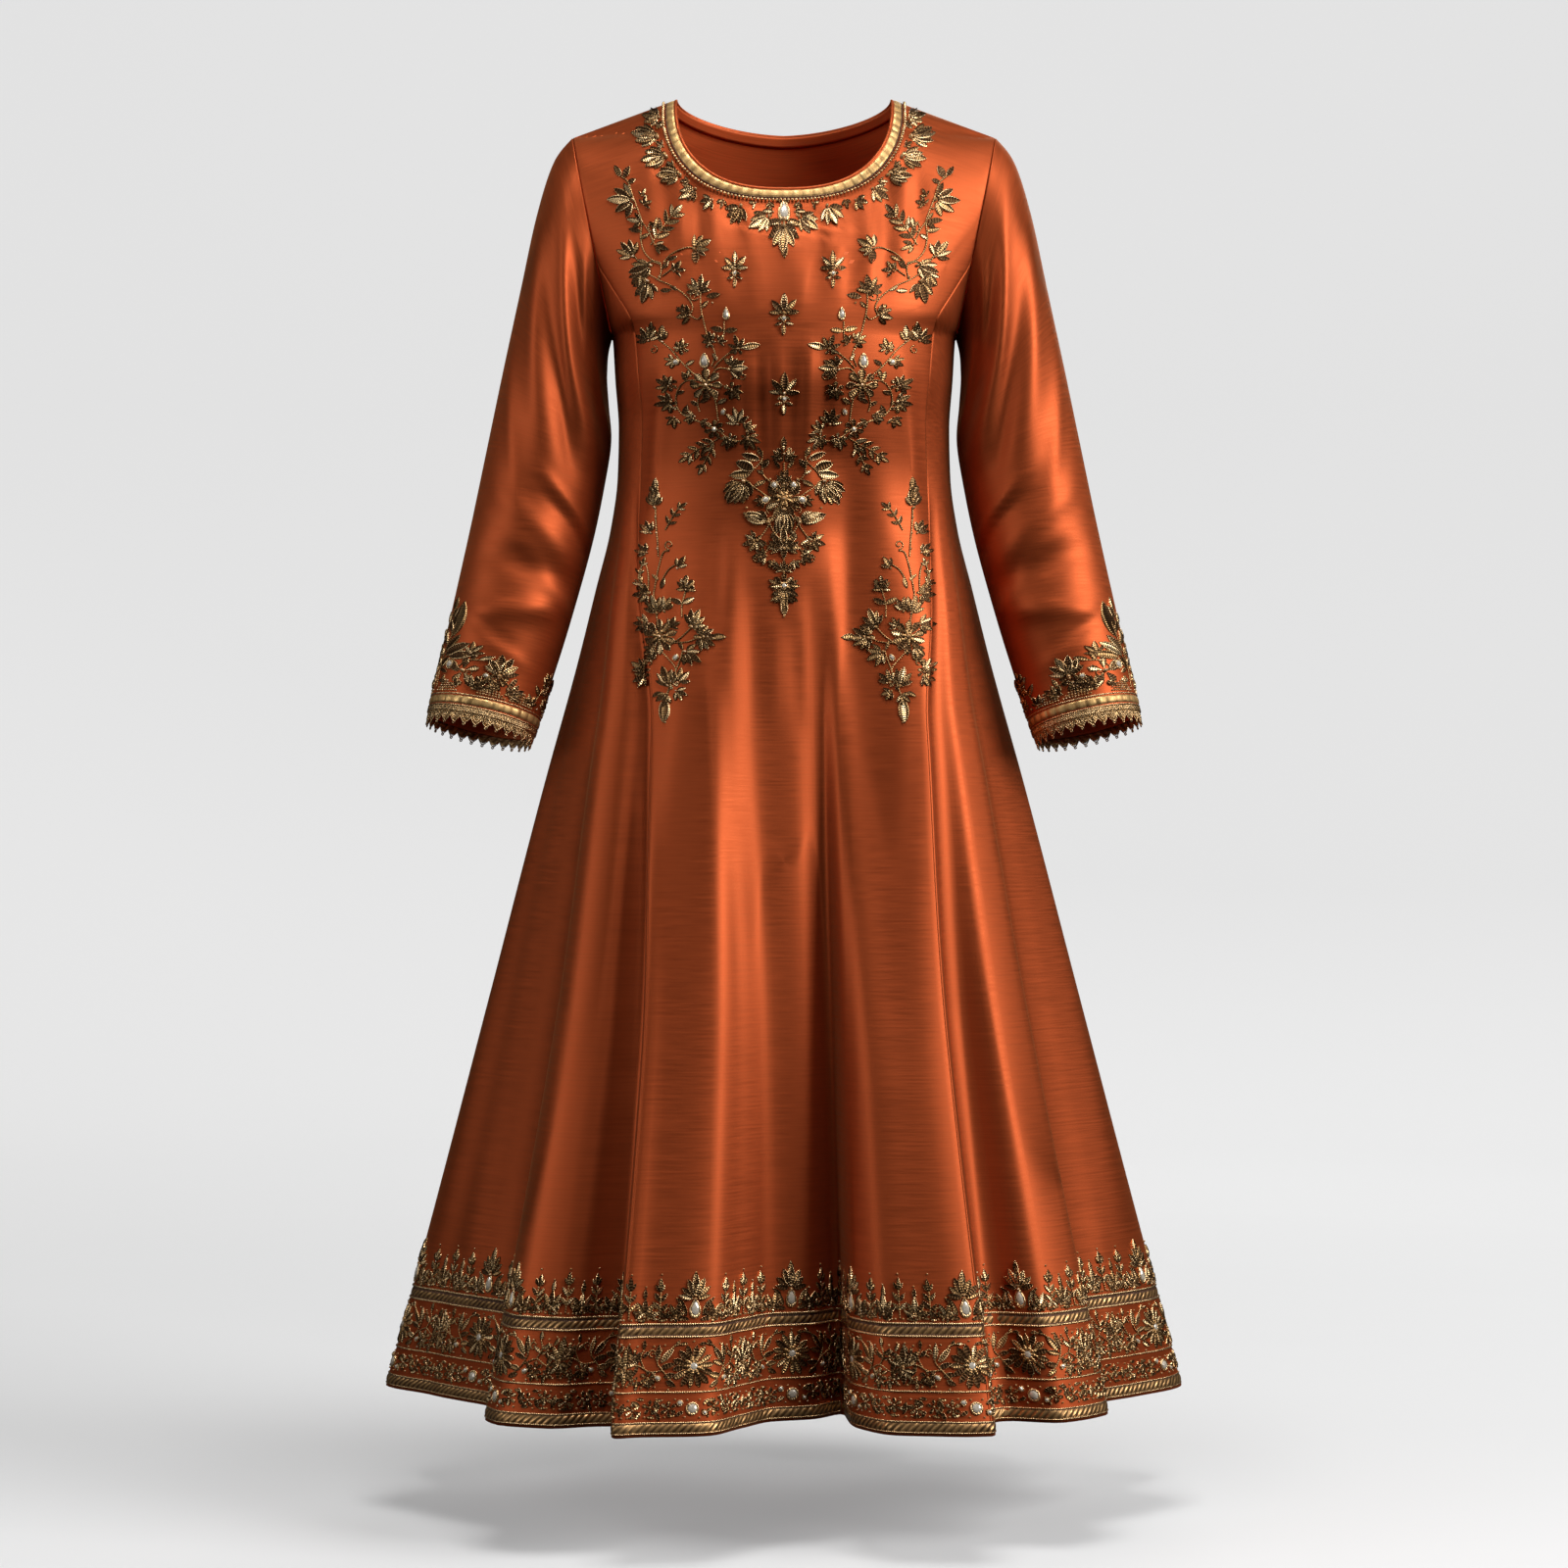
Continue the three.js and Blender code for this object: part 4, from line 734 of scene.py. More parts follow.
LEAF_SECTION = [(-1, 0), (-0.96, 0.7), (-0.68, 0.9), (-0.46, 0.1), (0, 0.72), (0.46, 0.1), (0.68, 0.9),
                (0.96, 0.7), (1, 0)]
SMALL_SECTION = [(-1, 0), (-0.84, 0.9), (-0.5, 0.15), (0, 0.72), (0.5, 0.15), (0.84, 0.9), (1, 0)]
SMALL_LEAF = 15  # millimetres, and shorter leaves have fewer faces
RIBBED, SMALL_RIBBED = leaf_form(7, LEAF_SECTION, "RRHVVHRR"), leaf_form(5, SMALL_SECTION, "RHVVHR")
SPOON, SMALL_SPOON = leaf_form(7, LEAF_SECTION, "RRHVVHRR", 1.7), leaf_form(5, SMALL_SECTION, "RHVVHR", 1.7)
PLAIN = leaf_form(4, [(-1, 0), (-0.6, 0.8), (0.6, 0.8), (1, 0)], "VVV")


THREADS = ("antique_coil", "bright_coil", "cut_stone", "seed_bead", "dark_coil_and_shade")
ANTIQUE, BRIGHT, STONE, BEAD, DARK_AND_SHADE = range(5)


class Needlework:
    """Raised stitches of one piece, drawn flat as (across, up, height) in mm and then laid on the cloth."""

    def __init__(self, seed, side=1):
        self.points, self.faces, self.uv, self.marks, self.count = [], [], [], [], 0
        self.hand = np.random.default_rng(seed)
        self.side = side  # -1 mirrors the drawing

    def put(self, x, y, height, faces, uv, mark):
        """Adds one form to the drawing."""
        self.points.append(np.stack([x * self.side, y, height], -1))
        self.faces.append((faces if self.side > 0 else faces[:, ::-1]) + self.count)
        self.uv.append(uv * MM)
        self.marks.append(np.broadcast_to(mark, len(faces)))
        self.count += len(x)

    def leaf(self, x, y, length, angle, width=0.42, height=1.7, mark=ANTIQUE, form=RIBBED):
        if length < SMALL_LEAF:
            form = SMALL_RIBBED if form is RIBBED else SMALL_SPOON if form is SPOON else form
        t, s, h, faces, kinds = form
        angle = np.radians(angle + self.hand.uniform(-3, 3))
        length = length * self.hand.uniform(0.93, 1.07)
        along, across = t * length, s * width * length / 2
        sin, cos = np.sin(angle), np.cos(angle)
        uv = np.stack([along, s * width * length], -1)
        marks = mark
        if form is not PLAIN:
            # some veins take the dark coil as a darker thread; every hollow between rim and vein takes it as
            # painted shade
            vein = self.hand.choice([mark, mark, DARK_AND_SHADE, DARK_AND_SHADE, DARK_AND_SHADE, BRIGHT])
            rim = self.hand.choice([BRIGHT, BRIGHT, ANTIQUE])
            marks = np.where(kinds == "R", rim, np.where(kinds == "H", DARK_AND_SHADE, vein))
        h = h * height * (1 + 0.3 * self.hand.uniform(-1, 1) * s / max(abs(s).max(), 1e-6))
        self.put(x + along * sin + across * cos, y + along * cos - across * sin, h, faces[:, ::-1], uv,
                 marks)

    def stem(self, path, radius=0.72):
        """A four-sided couched thread along a line."""
        path = spline(path, 2.2)
        ahead = unit(np.gradient(path, axis=0))
        side = np.stack([ahead[:, 1], -ahead[:, 0]], -1)
        angle = np.arange(4) * np.pi / 2
        x = path[:, :1] + side[:, :1] * radius * np.cos(angle)
        y = path[:, 1:] + side[:, 1:] * radius * np.cos(angle)
        h = np.broadcast_to(radius * (0.7 + np.sin(angle)), x.shape)
        run = distances(path)
        uv = np.stack(np.broadcast_arrays(run[:, None], angle[None, :] * radius), -1).reshape(-1, 2)
        self.put(x.ravel(), y.ravel(), h.ravel(), grid_faces(len(path), 4, loop=True), uv, ANTIQUE)

    def turned_form(self, x, y, rings, mark, sides, drop=0.0, stretch=1.0, angle=0.0):
        """A round or drop-shaped form from rings of (radius, height)."""
        a = np.arange(sides) * 2 * np.pi / sides
        radius = np.array([r for r, _ in rings])[:, None]
        px = radius * np.sin(a) * (1 - 0.8 * drop * ((1 + np.cos(a)) / 2) ** 1.4)
        py = radius * np.cos(a) * stretch
        turn = np.radians(angle)
        gx, gy = px * np.cos(turn) + py * np.sin(turn), py * np.cos(turn) - px * np.sin(turn)
        h = np.broadcast_to(np.array([h for _, h in rings])[:, None], px.shape)
        uv = np.stack([gx.ravel(), gy.ravel()], -1)
        self.put(x + gx.ravel(), y + gy.ravel(), h.ravel(), grid_faces(len(rings), sides, loop=True), uv,
                 mark)

    def bead(self, x, y, radius, mark=BEAD, sides=6):
        r = radius
        self.turned_form(x, y, [(r, 0), (0.85 * r, 1.1 * r), (0.12 * r, 1.6 * r)], mark, sides)

    def stone(self, x, y, radius, drop=0.0, angle=0.0):
        """A set stone in its gold rim. drop above 0 gives a teardrop that points up before its turn."""
        r, stretch = radius, 1 + 0.5 * drop
        rim = [(1.42 * r, -0.1), (1.4 * r, 0.9), (1.24 * r, 1.5), (1.04 * r, 1.4), (0.96 * r, 0.9)]
        glass = [(1.02 * r, 0.8), (0.86 * r, 1.75), (0.5 * r, 2.3), (0.06 * r, 2.45)]
        self.turned_form(x, y, rim, BRIGHT, 16, drop, stretch, angle)
        self.turned_form(x, y, glass, STONE, 8, drop, stretch, angle)

    def bloom(self, x, y, radius, petals, heart, turn=0.0, inner=0):
        """A round flower of spoon-shaped petals, with shorter ones inside."""
        for i in range(petals):
            a = turn + 360 * i / petals
            start = 0.2 * radius
            self.leaf(x + start * np.sin(np.radians(a)), y + start * np.cos(np.radians(a)), 0.85 * radius, a,
                      min(0.62, 5.4 / petals), 1.8, form=SPOON)
        for i in range(inner):
            a = turn + 360 * (i + 0.5) / inner
            self.leaf(x, y, 0.55 * radius, a, 0.5, 2.6, form=PLAIN)
        if heart == "stone":
            self.stone(x, y, max(0.22 * radius, 1.6))
        else:
            self.bead(x, y, max(0.16 * radius, 1.1), BEAD, 8)

    def fan(self, x, y, size, angle, leaves, spread):
        """A palmette: leaves spread from one foot, the middle one longest."""
        for i in range(leaves):
            t = 2 * i / (leaves - 1) - 1 if leaves > 1 else 0
            a = angle + t * spread / 2
            reach = size * (1 - 0.32 * abs(t))
            foot = 0.12 * size
            self.leaf(x + foot * np.sin(np.radians(a)), y + foot * np.cos(np.radians(a)), 0.86 * reach, a,
                      0.43, 2.3)
        self.bead(x, y, max(0.085 * size, 0.9))

    def spray(self, path, size, pairs):
        """A stem with paired leaves and a leaf at its tip."""
        self.stem(path, 0.65)
        line = spline(path, 1.0)
        for i in range(pairs):
            k = int((0.25 + 0.7 * i / max(pairs - 1, 1)) * (len(line) - 1))
            ahead = line[min(k + 1, len(line) - 1)] - line[max(k - 1, 0)]
            a = np.degrees(np.arctan2(ahead[0], ahead[1]))
            reach = size * (1 - 0.15 * i / max(pairs, 1))
            for side in (1, -1):
                self.leaf(*line[k], reach, a + side * 42, 0.4, 1.6)
        ahead = line[-1] - line[-3]
        self.leaf(*line[-1], size, np.degrees(np.arctan2(ahead[0], ahead[1])))

    def curl(self, x, y, radius, start, turns):
        """A closing scroll of thread that starts at an angle of its outer ring."""
        t = np.linspace(0, 1, 22)
        a = np.radians(start) + t * turns * 2 * np.pi
        r = radius * (1 - 0.72 * t)
        self.stem(np.stack([x + r * np.sin(a), y + r * np.cos(a)], -1), 0.6)

    def sew(self, name, ground, slot, *nodes):
        """Lays everything on a ground, which turns (across, up) into points and outward directions."""
        flat = np.concatenate(self.points)
        points, out = ground(flat[:, 0], flat[:, 1])
        laid = points + out * flat[:, 2:]
        made = mesh_object(name, laid, np.concatenate(self.faces), np.concatenate(self.uv),
                           [finish(f) for f in THREADS], np.concatenate(self.marks))
        made.data.polygons.foreach_set("use_smooth", np.concatenate(self.marks) != STONE)
        return hang(made, slot, *nodes)


def spline(path, pitch):
    """A smooth line through points, read at an even pitch in mm."""
    path = np.asarray(path, float)
    if len(path) > 2:
        ends = np.vstack([2 * path[0] - path[1], path, 2 * path[-1] - path[-2]])
        pieces = []
        t = np.linspace(0, 1, 12, endpoint=False)[:, None]
        for a, b, c, d in zip(ends, ends[1:], ends[2:], ends[3:]):
            pieces.append(hermite(b, c, (c - a) / 2, (d - b) / 2, t))
        path = np.vstack([*pieces, path[-1:]])
    run = distances(path)
    count = max(3, int(round(run[-1] / pitch)) + 1)
    at = np.linspace(0, run[-1], count)
    return np.stack([np.interp(at, run, path[:, 0]), np.interp(at, run, path[:, 1])], -1)


# The chest's and hips' drawing

# Millimetres across and up in the front view, for the side at the picture's left. The other side mirrors it.
# fans: foot, size, direction, leaves, spread. blooms: middle, radius, petals, some with inner petals, heart.
# leaves: foot, length, direction, and for some, width. sprays: line, leaf size, pairs.
# curls: middle, radius, start, turns. stones: middle, radius, drop, direction. beads: middle, radius.
# Directions are degrees from up towards the picture's right.
GARLAND = {
    "fans": [
        (-110.5, -15.5, 16, -80, 5, 110), (-112.4, -32.6, 24, -84, 5, 74), (-104.5, -50, 23, -98, 5, 76),
        (-92.2, -66.6, 22, -90, 5, 74), (-78.6, -78.6, 17, -122, 5, 100), (-63.5, -88.6, 13, -118, 4, 110),
        (-38.3, -93.7, 20, -150, 5, 100), (-13.3, -103.3, 20, -122, 5, 96), (-25.2, -91.1, 9, -120, 2, 60),
        (-108.5, -23.4, 8, -60, 3, 90), (-107.2, -41, 8, -60, 3, 80), (-98, -58, 7, -60, 3, 80),
        (-84.4, -72, 8, -90, 3, 90), (-53.9, -88.5, 9, -160, 3, 100), (-13.1, -91.1, 8, 170, 3, 90),
    ],
    "blooms": [(-117.5, -31.9, 6, 5), (-110.5, -48.5, 6, 5), (-98.3, -65, 5.5, 5)],
}
NECK_DROP = {
    "stones": [(0, -98.1, 5.0, 0.75, 0)],
    "fans": [
        (0, -112, 25, 180, 5, 110), (0, -105.9, 24, 180, 2, 150), (0, -109.4, 17, 180, 6, 190),
        (-9.6, -98.9, 10, -90, 3, 100), (9.6, -98.9, 10, 90, 3, 100), (0, -92, 9, 0, 2, 110),
    ],
    "leaves": [(0, -125.9, 14, 180, 0.5)],
}
BUTI = {
    "fans": [(0, 4, 19, 0, 5, 170), (0, -4, 12, 180, 3, 150), (0, 2, 10, 0, 4, 250)],
    "leaves": [(0, 9, 13, 0, 0.5)],
    "stones": [(0, -1, 1.8, 0, 0)],
}
UPPER_VINE = {
    "stems": [
        [(-144.4, -67.6), (-138.3, -72.8), (-134, -85), (-129.6, -97.2), (-126.2, -107.6), (-127, -121.5),
         (-124.4, -133.7), (-117.5, -141.6), (-109.6, -144.2)],
        [(-126.2, -107.6), (-120.1, -116.3), (-115.7, -126.8)],
        [(-109.6, -144.2), (-108.8, -152), (-111.4, -159.8)],
        [(-107, -144.2), (-99.2, -136.3), (-87, -131.1), (-80, -131.1)],
        [(-111.4, -159.8), (-99.2, -165), (-87, -173.7), (-80.9, -183.3), (-83.5, -191.1)],
        [(-109.6, -145.9), (-118.3, -143.3), (-125.3, -147.6), (-132.2, -138.9), (-135.7, -132.9)],
        [(-107.9, -156.3), (-100.9, -151.1), (-95.7, -145.9)],
        [(-111.4, -159.8), (-118.3, -155.5), (-126.2, -152)],
        [(-74, -170.3), (-74, -179), (-73.1, -187.7), (-68.7, -206.8)],
        [(-83.5, -191.1), (-76.6, -194.6), (-73.1, -191.1)],
    ],
    "fans": [
        (-134, -88.5, 23, -92, 5, 130), (-126.2, -107.6, 14, -85, 3, 90), (-134, -138.9, 18, -40, 5, 120),
        (-118.3, -146.8, 20, -110, 5, 90), (-127, -153.7, 15, -160, 4, 100),
        (-120.9, -160.7, 20, 194, 5, 110), (-80, -132, 17, 62, 5, 120), (-96.6, -151.1, 11, 60, 4, 160),
        (-75.7, -170.3, 16, -8, 6, 170), (-83.5, -191.1, 15, -80, 4, 120), (-124.4, -92.8, 9, 40, 4, 160),
        (-126.2, -85, 8, 30, 3, 120), (-114.8, -128.5, 13, 110, 3, 80), (-114.8, -113.7, 10, 10, 3, 90),
    ],
    "leaves": [
        (-144.4, -67.6, 11, -35, 0.5), (-142.7, -68.5, 12, 30, 0.55), (-138.3, -73.7, 8, 60, 0.5),
        (-127, -116.3, 11, -80, 0.45), (-79.2, -132.9, 12, 172, 0.6), (-109.6, -169.4, 10, 85, 0.45),
        (-68.7, -174.6, 13, 80, 0.45), (-102.7, -142.4, 9, 60, 0.45), (-100.9, -165, 8, 120, 0.5),
        (-73.1, -184.2, 8, 45, 0.4), (-107.9, -149.4, 9, 40, 0.5), (-127.9, -123.3, 9, 60, 0.4),
    ],
    "sprays": [([(-118.3, -128.5), (-111.4, -118.1), (-103.5, -107.6), (-98.3, -101.5)], 12.5, 4)],
    "curls": [(-115.7, -112, 5.5, 180, 1.0), (-95.7, -148.5, 4.5, 200, 1.1), (-80, -173.7, 4.5, 120, 1.1)],
    "blooms": [(-89.6, -187.7, 6, 5), (-76.6, -167.6, 6, 6)],
    "beads": [(-137.5, -76.3, 1.0), (-132.2, -96.3, 1.1), (-110.5, -157.2, 1.4), (-63.5, -179.8, 1.0)],
}
MIDDLE_VINE = {
    "stems": [
        [(-53.1, -196.4), (-53.1, -205.1), (-53.9, -214.6)],
        [(-68.7, -206.8), (-64.4, -217.2), (-60.9, -225.9), (-64.4, -236.4)],
        [(-112.2, -212), (-100.9, -220.7), (-89.6, -233.8), (-75.7, -246.8)],
        [(-62.6, -238.1), (-56.5, -231.2), (-46.1, -222.5)], [(-65.2, -245.1), (-58.3, -238.1), (-47, -239)],
        [(-74.8, -248.6), (-87, -249.4), (-94, -257.3), (-95.7, -269.4), (-89.6, -279), (-74.8, -285.1)],
        [(-81.8, -245.1), (-90.5, -241.6)], [(-62.6, -260.7), (-60, -271.2), (-58.3, -285.1)],
        [(-59.2, -292.1), (-50.5, -299), (-40, -302.5), (-31.3, -299), (-34.8, -288.6), (-41.8, -280.8)],
        [(-74.8, -260.7), (-76.6, -269.4), (-74.8, -276.4)],
    ],
    "fans": [
        (-120.1, -213.8, 15, -15, 6, 160), (-118.3, -206.8, 10, 0, 3, 60), (-107.9, -214.6, 15, 0, 3, 50),
        (-40, -220.7, 13, -20, 5, 190), (-48.7, -239, 18, 85, 5, 100), (-47.9, -236.4, 11, 30, 4, 130),
        (-46.1, -256.4, 12, 150, 5, 170), (-102.7, -253.8, 13, -60, 5, 160),
        (-100, -267.7, 15, -100, 5, 140), (-97.4, -281.6, 11, -160, 4, 130), (-79.2, -280.8, 12, -95, 4, 90),
        (-40.9, -287.7, 16, -15, 5, 130), (-48.7, -299.9, 12, 190, 5, 150), (-32.2, -299, 14, 150, 5, 150),
        (-63.5, -213.8, 11, -60, 5, 150), (-58.3, -214.6, 9, 60, 4, 130), (-91.3, -220.7, 10, 10, 5, 180),
        (-97.4, -231.2, 11, -100, 4, 120), (-33.1, -293.8, 12, 40, 4, 110),
    ],
    "blooms": [
        (-69.2, -252.9, 14, 8, 6, "bead"), (-61.8, -292.1, 8.5, 7, 0, "stone"), (-91.3, -219.9, 6, 6),
        (-40.9, -220.7, 6, 5), (-46.1, -257.3, 7.5, 6), (-100.9, -252, 6.5, 6), (-66.1, -215.5, 5.5, 5),
        (-47.9, -301.6, 6.5, 6), (-32.2, -300.8, 6, 6), (-100.9, -271.2, 6.5, 6),
    ],
    "leaves": [
        (-53.9, -204.2, 11, -80, 0.5), (-52.2, -205.1, 11, 78, 0.5), (-37.4, -219.9, 16, 80, 0.4),
        (-87, -235.5, 9, 55, 0.45), (-84.4, -239, 8, 190, 0.45), (-87, -249.4, 9, -20, 0.5),
        (-75.7, -271.2, 8, -60, 0.5), (-74.8, -268.6, 8, 55, 0.5), (-59.2, -269.4, 9, 60, 0.5),
        (-89.6, -279.9, 10, 20, 0.45), (-95.7, -260.7, 8, 70, 0.5), (-81.8, -247.7, 8, 170, 0.5),
        (-59.2, -231.2, 8, -30, 0.45), (-53.1, -229.4, 8, 120, 0.45),
    ],
    "sprays": [
        ([(-56.5, -299), (-66.1, -305.1), (-76.6, -310.3), (-84.4, -315.6)], 11, 4),
        ([(-61.8, -304.2), (-67.9, -316.4), (-72.2, -325.1)], 9, 3),
        ([(-89.6, -279), (-81.8, -283.4), (-73.1, -286)], 8, 2),
    ],
    "stones": [
        (-51.3, -189.4, 3.0, 0.9, 0), (-70.5, -231.2, 3.8, 0.7, 0), (-95.7, -232.5, 2.2, 0, 0),
        (-53.9, -276.4, 1.9, 0.5, 20),
    ],
    "curls": [(-115.7, -221.6, 4, 0, 1.1), (-37.4, -245.1, 3.6, 60, 1.1)],
    "beads": [
        (-60, -265.1, 1.1), (-87, -316.4, 1.5), (-73.1, -327.7, 1.4), (-80.9, -319.9, 1.1),
        (-46.1, -246.8, 1.0),
    ],
}
PENDANT_SIDES = {
    "stems": [
        [(-19.1, -311.2), (-20, -319.9), (-27, -327.7), (-34.8, -336.4)],
        [(-34.8, -336.4), (-27.8, -342.5), (-19.1, -348.6), (-12.2, -353.8)],
        [(-34.8, -336.4), (-39.1, -346), (-43.5, -354.7)],
        [(-20, -319.9), (-18.3, -332.1), (-12.2, -339), (-6.1, -346)],
        [(-8.7, -366.9), (-15.7, -380.8), (-23.5, -391.2)], [(0, -387.8), (-11.3, -394.7), (-17.4, -403.4)],
        [(-13.9, -372.1), (-10.4, -380.8), (-4.3, -389.5)],
    ],
    "leaves": [
        (-21.8, -319, 16, -70), (-20, -316.4, 10, -20), (-27, -327.7, 17, -68, 0.62),
        (-30.4, -332.1, 18, -95, 0.5), (-33.1, -337.3, 13, 160, 0.45), (-29.6, -340.8, 10, 175),
        (-26.1, -342.5, 11, 60), (-19.1, -326.9, 9, 40, 0.4), (-17.4, -332.1, 8, -60, 0.4),
        (-20.9, -323.4, 9, 60, 0.4), (-10.4, -339.9, 8, 120, 0.4), (-7.8, -370.4, 11, -110),
        (-10.4, -386, 9, 150, 0.45), (-6.1, -381.7, 9, -140), (-14.8, -394.7, 9, -60, 0.45),
        (-3.5, -368.6, 14, 200, 0.35), (-13.9, -346, 9, 20, 0.4), (-3.5, -326.9, 9, -35),
        (-2.6, -333.8, 10, -150, 0.38),
    ],
    "fans": [
        (-35.7, -338.2, 25, 214, 7, 90), (-37.4, -342.5, 17, 214, 5, 130), (-13.9, -374.7, 24, -72, 7, 34),
        (-13.9, -372.1, 15, -70, 5, 60), (-24.4, -390.4, 14, -128, 6, 200), (-15.7, -404.3, 13, -95, 5, 130),
        (-8.7, -408.6, 10, 200, 4, 120), (-3.5, -398.2, 14, -70, 4, 90), (-17.4, -354.7, 11, -110, 4, 110),
        (-2.6, -318.2, 11, -60, 4, 90), (-4.3, -430.4, 11, -80, 4, 110), (-2.6, -439.1, 11, -120, 3, 80),
        (-1.7, -417.3, 9, -60, 3, 90),
    ],
    "blooms": [(-27, -391.2, 7.5, 6), (-20.9, -405.2, 5, 5)],
    "stones": [(-16.1, -354.7, 2.7, 0.3, 60), (-8.7, -341.6, 2.4, 0.2, 20)],
    "curls": [(-25.2, -406.9, 4, 0, 1.1), (-12.2, -363.4, 3.6, 200, 1.1)],
    "beads": [(-12.2, -336.4, 1.3), (-33.1, -361.7, 1.1), (-8.7, -410.4, 1.2), (-27.8, -385.1, 1.0)],
}
PENDANT_MIDDLE = {
    "stems": [
        [(0, -321.6), (0, -333.8), (0, -349.5)], [(0, -363.4), (0, -376.4), (0, -391.2)],
        [(0, -406.9), (0, -415.6), (0, -424.3)],
    ],
    "blooms": [(0, -313.8, 8, 7), (0, -353.8, 17, 12, 8, "bead"), (0, -431.3, 11.5, 8, 5, "stone")],
    "fans": [
        (0, -363.4, 25, 180, 5, 60), (0, -398.2, 20, 0, 5, 160), (0, -391.2, 16, 180, 5, 150),
        (0, -433, 20, 180, 5, 120), (0, -419.1, 11, 0, 3, 120), (0, -340.8, 15, 0, 4, 80),
    ],
    "leaves": [(0, -443.4, 15, 180, 0.5), (0, -309.5, 11, 0, 0.5)],
    "beads": [(0, -305.1, 1.1), (0, -458.2, 1.1), (0, -333.8, 1.3)],
}
HIP_SPRAY = {
    "stems": [
        [(-114, -361.7), (-113.5, -376.4), (-112.2, -391.2), (-111.4, -405.2)],
        [(-105.3, -381.7), (-100.9, -373.8), (-95.7, -365.1), (-92.2, -360.8)],
        [(-101.8, -399.9), (-107, -401.7), (-111.4, -415.6), (-115.7, -438.2)],
        [(-121.8, -437.4), (-127, -428.6), (-127, -417.3), (-124.4, -409.5), (-120.9, -417.3),
         (-120.1, -428.6), (-120.9, -438.2)],
        [(-90.5, -459.1), (-90.5, -448.7), (-87, -434.7)],
        [(-107.9, -426), (-102.7, -417.3), (-95.7, -412.1)],
        [(-115.7, -438.2), (-114, -450.4), (-111.4, -467.8)],
        [(-100.9, -483.5), (-90.5, -476.5), (-81.8, -467.8)],
        [(-97.4, -481.7), (-85.3, -480.9), (-74.8, -476.5)],
        [(-109.6, -488.7), (-102.7, -495.6), (-95.7, -506.1), (-100.9, -520), (-105.3, -532.2)],
        [(-116.6, -486.9), (-121.8, -497.4), (-125.3, -506.1)],
        [(-89.6, -488.7), (-92.2, -497.4), (-95.7, -506.1)],
    ],
    "fans": [
        (-114.8, -361.7, 17, 0, 5, 70), (-114.8, -352.1, 14, 0, 3, 40), (-118.3, -384.3, 14, -35, 4, 90),
        (-121.8, -401.7, 12, -60, 4, 110), (-120.9, -438.2, 14, -95, 5, 150),
        (-125.3, -430.4, 10, -80, 3, 110), (-94.8, -415.6, 13, 35, 3, 70), (-87, -434.7, 12, 0, 5, 180),
        (-113.1, -455.6, 17, -15, 5, 110), (-106.1, -453.9, 15, 12, 4, 80),
        (-120.1, -465.2, 15, -88, 5, 110), (-81.8, -467.8, 18, 25, 5, 110), (-74.8, -477.4, 17, 88, 7, 170),
        (-87.9, -489.6, 17, 120, 5, 130), (-124.4, -505.2, 13, -60, 5, 130),
        (-123.5, -511.3, 13, -130, 4, 110), (-118.3, -498.2, 11, -20, 4, 120),
        (-102.7, -520, 18, -15, 5, 110), (-94, -517.4, 15, 30, 4, 100), (-103.5, -527, 13, 215, 4, 110),
        (-95.7, -524.4, 12, 130, 4, 110), (-100.9, -467.8, 11, 45, 4, 110), (-115.7, -485.2, 13, 215, 4, 90),
    ],
    "blooms": [
        (-110.5, -476.5, 15, 10, 7, "bead"), (-71.3, -476.5, 9, 8), (-86.1, -429.5, 7, 6),
        (-123.5, -438.2, 5.5, 5), (-100, -516.5, 7, 6), (-124.4, -507.8, 6, 6), (-79.2, -464.3, 6, 6),
        (-110.5, -448.7, 6, 6),
    ],
    "leaves": [
        (-64.4, -476.5, 14, 88, 0.5), (-105.3, -532.2, 20, 184, 0.5), (-90.5, -446.9, 11, -65, 0.5),
        (-89.6, -446.9, 12, 65, 0.5), (-106.1, -424.3, 10, 200, 0.4), (-114, -346, 11, 0, 0.5),
        (-109.6, -525.2, 9, -120, 0.45), (-93.1, -480, 9, 160, 0.4), (-111.4, -426, 8, -50, 0.4),
    ],
    "sprays": [
        ([(-105.3, -381.7), (-100.9, -373.8), (-95.7, -365.1), (-92.2, -361.7)], 7.5, 3),
        ([(-126.2, -433), (-128.8, -422.6), (-125.3, -411.2)], 6, 3),
    ],
    "curls": [(-101.8, -394.7, 4.4, 180, 1.2), (-87, -495.6, 4, 90, 1.1), (-120.1, -499.1, 3.6, 0, 1.1)],
    "beads": [
        (-114, -370.4, 1.1), (-113.1, -384.3, 1.1), (-112.2, -398.2, 1.2), (-71.3, -471.3, 1.2),
        (-67.9, -476.5, 1.2), (-71.3, -480.9, 1.2), (-105.3, -552.2, 1.0),
    ],
    "stones": [(-95.7, -494.8, 2.0, 0.5, 30)],
}


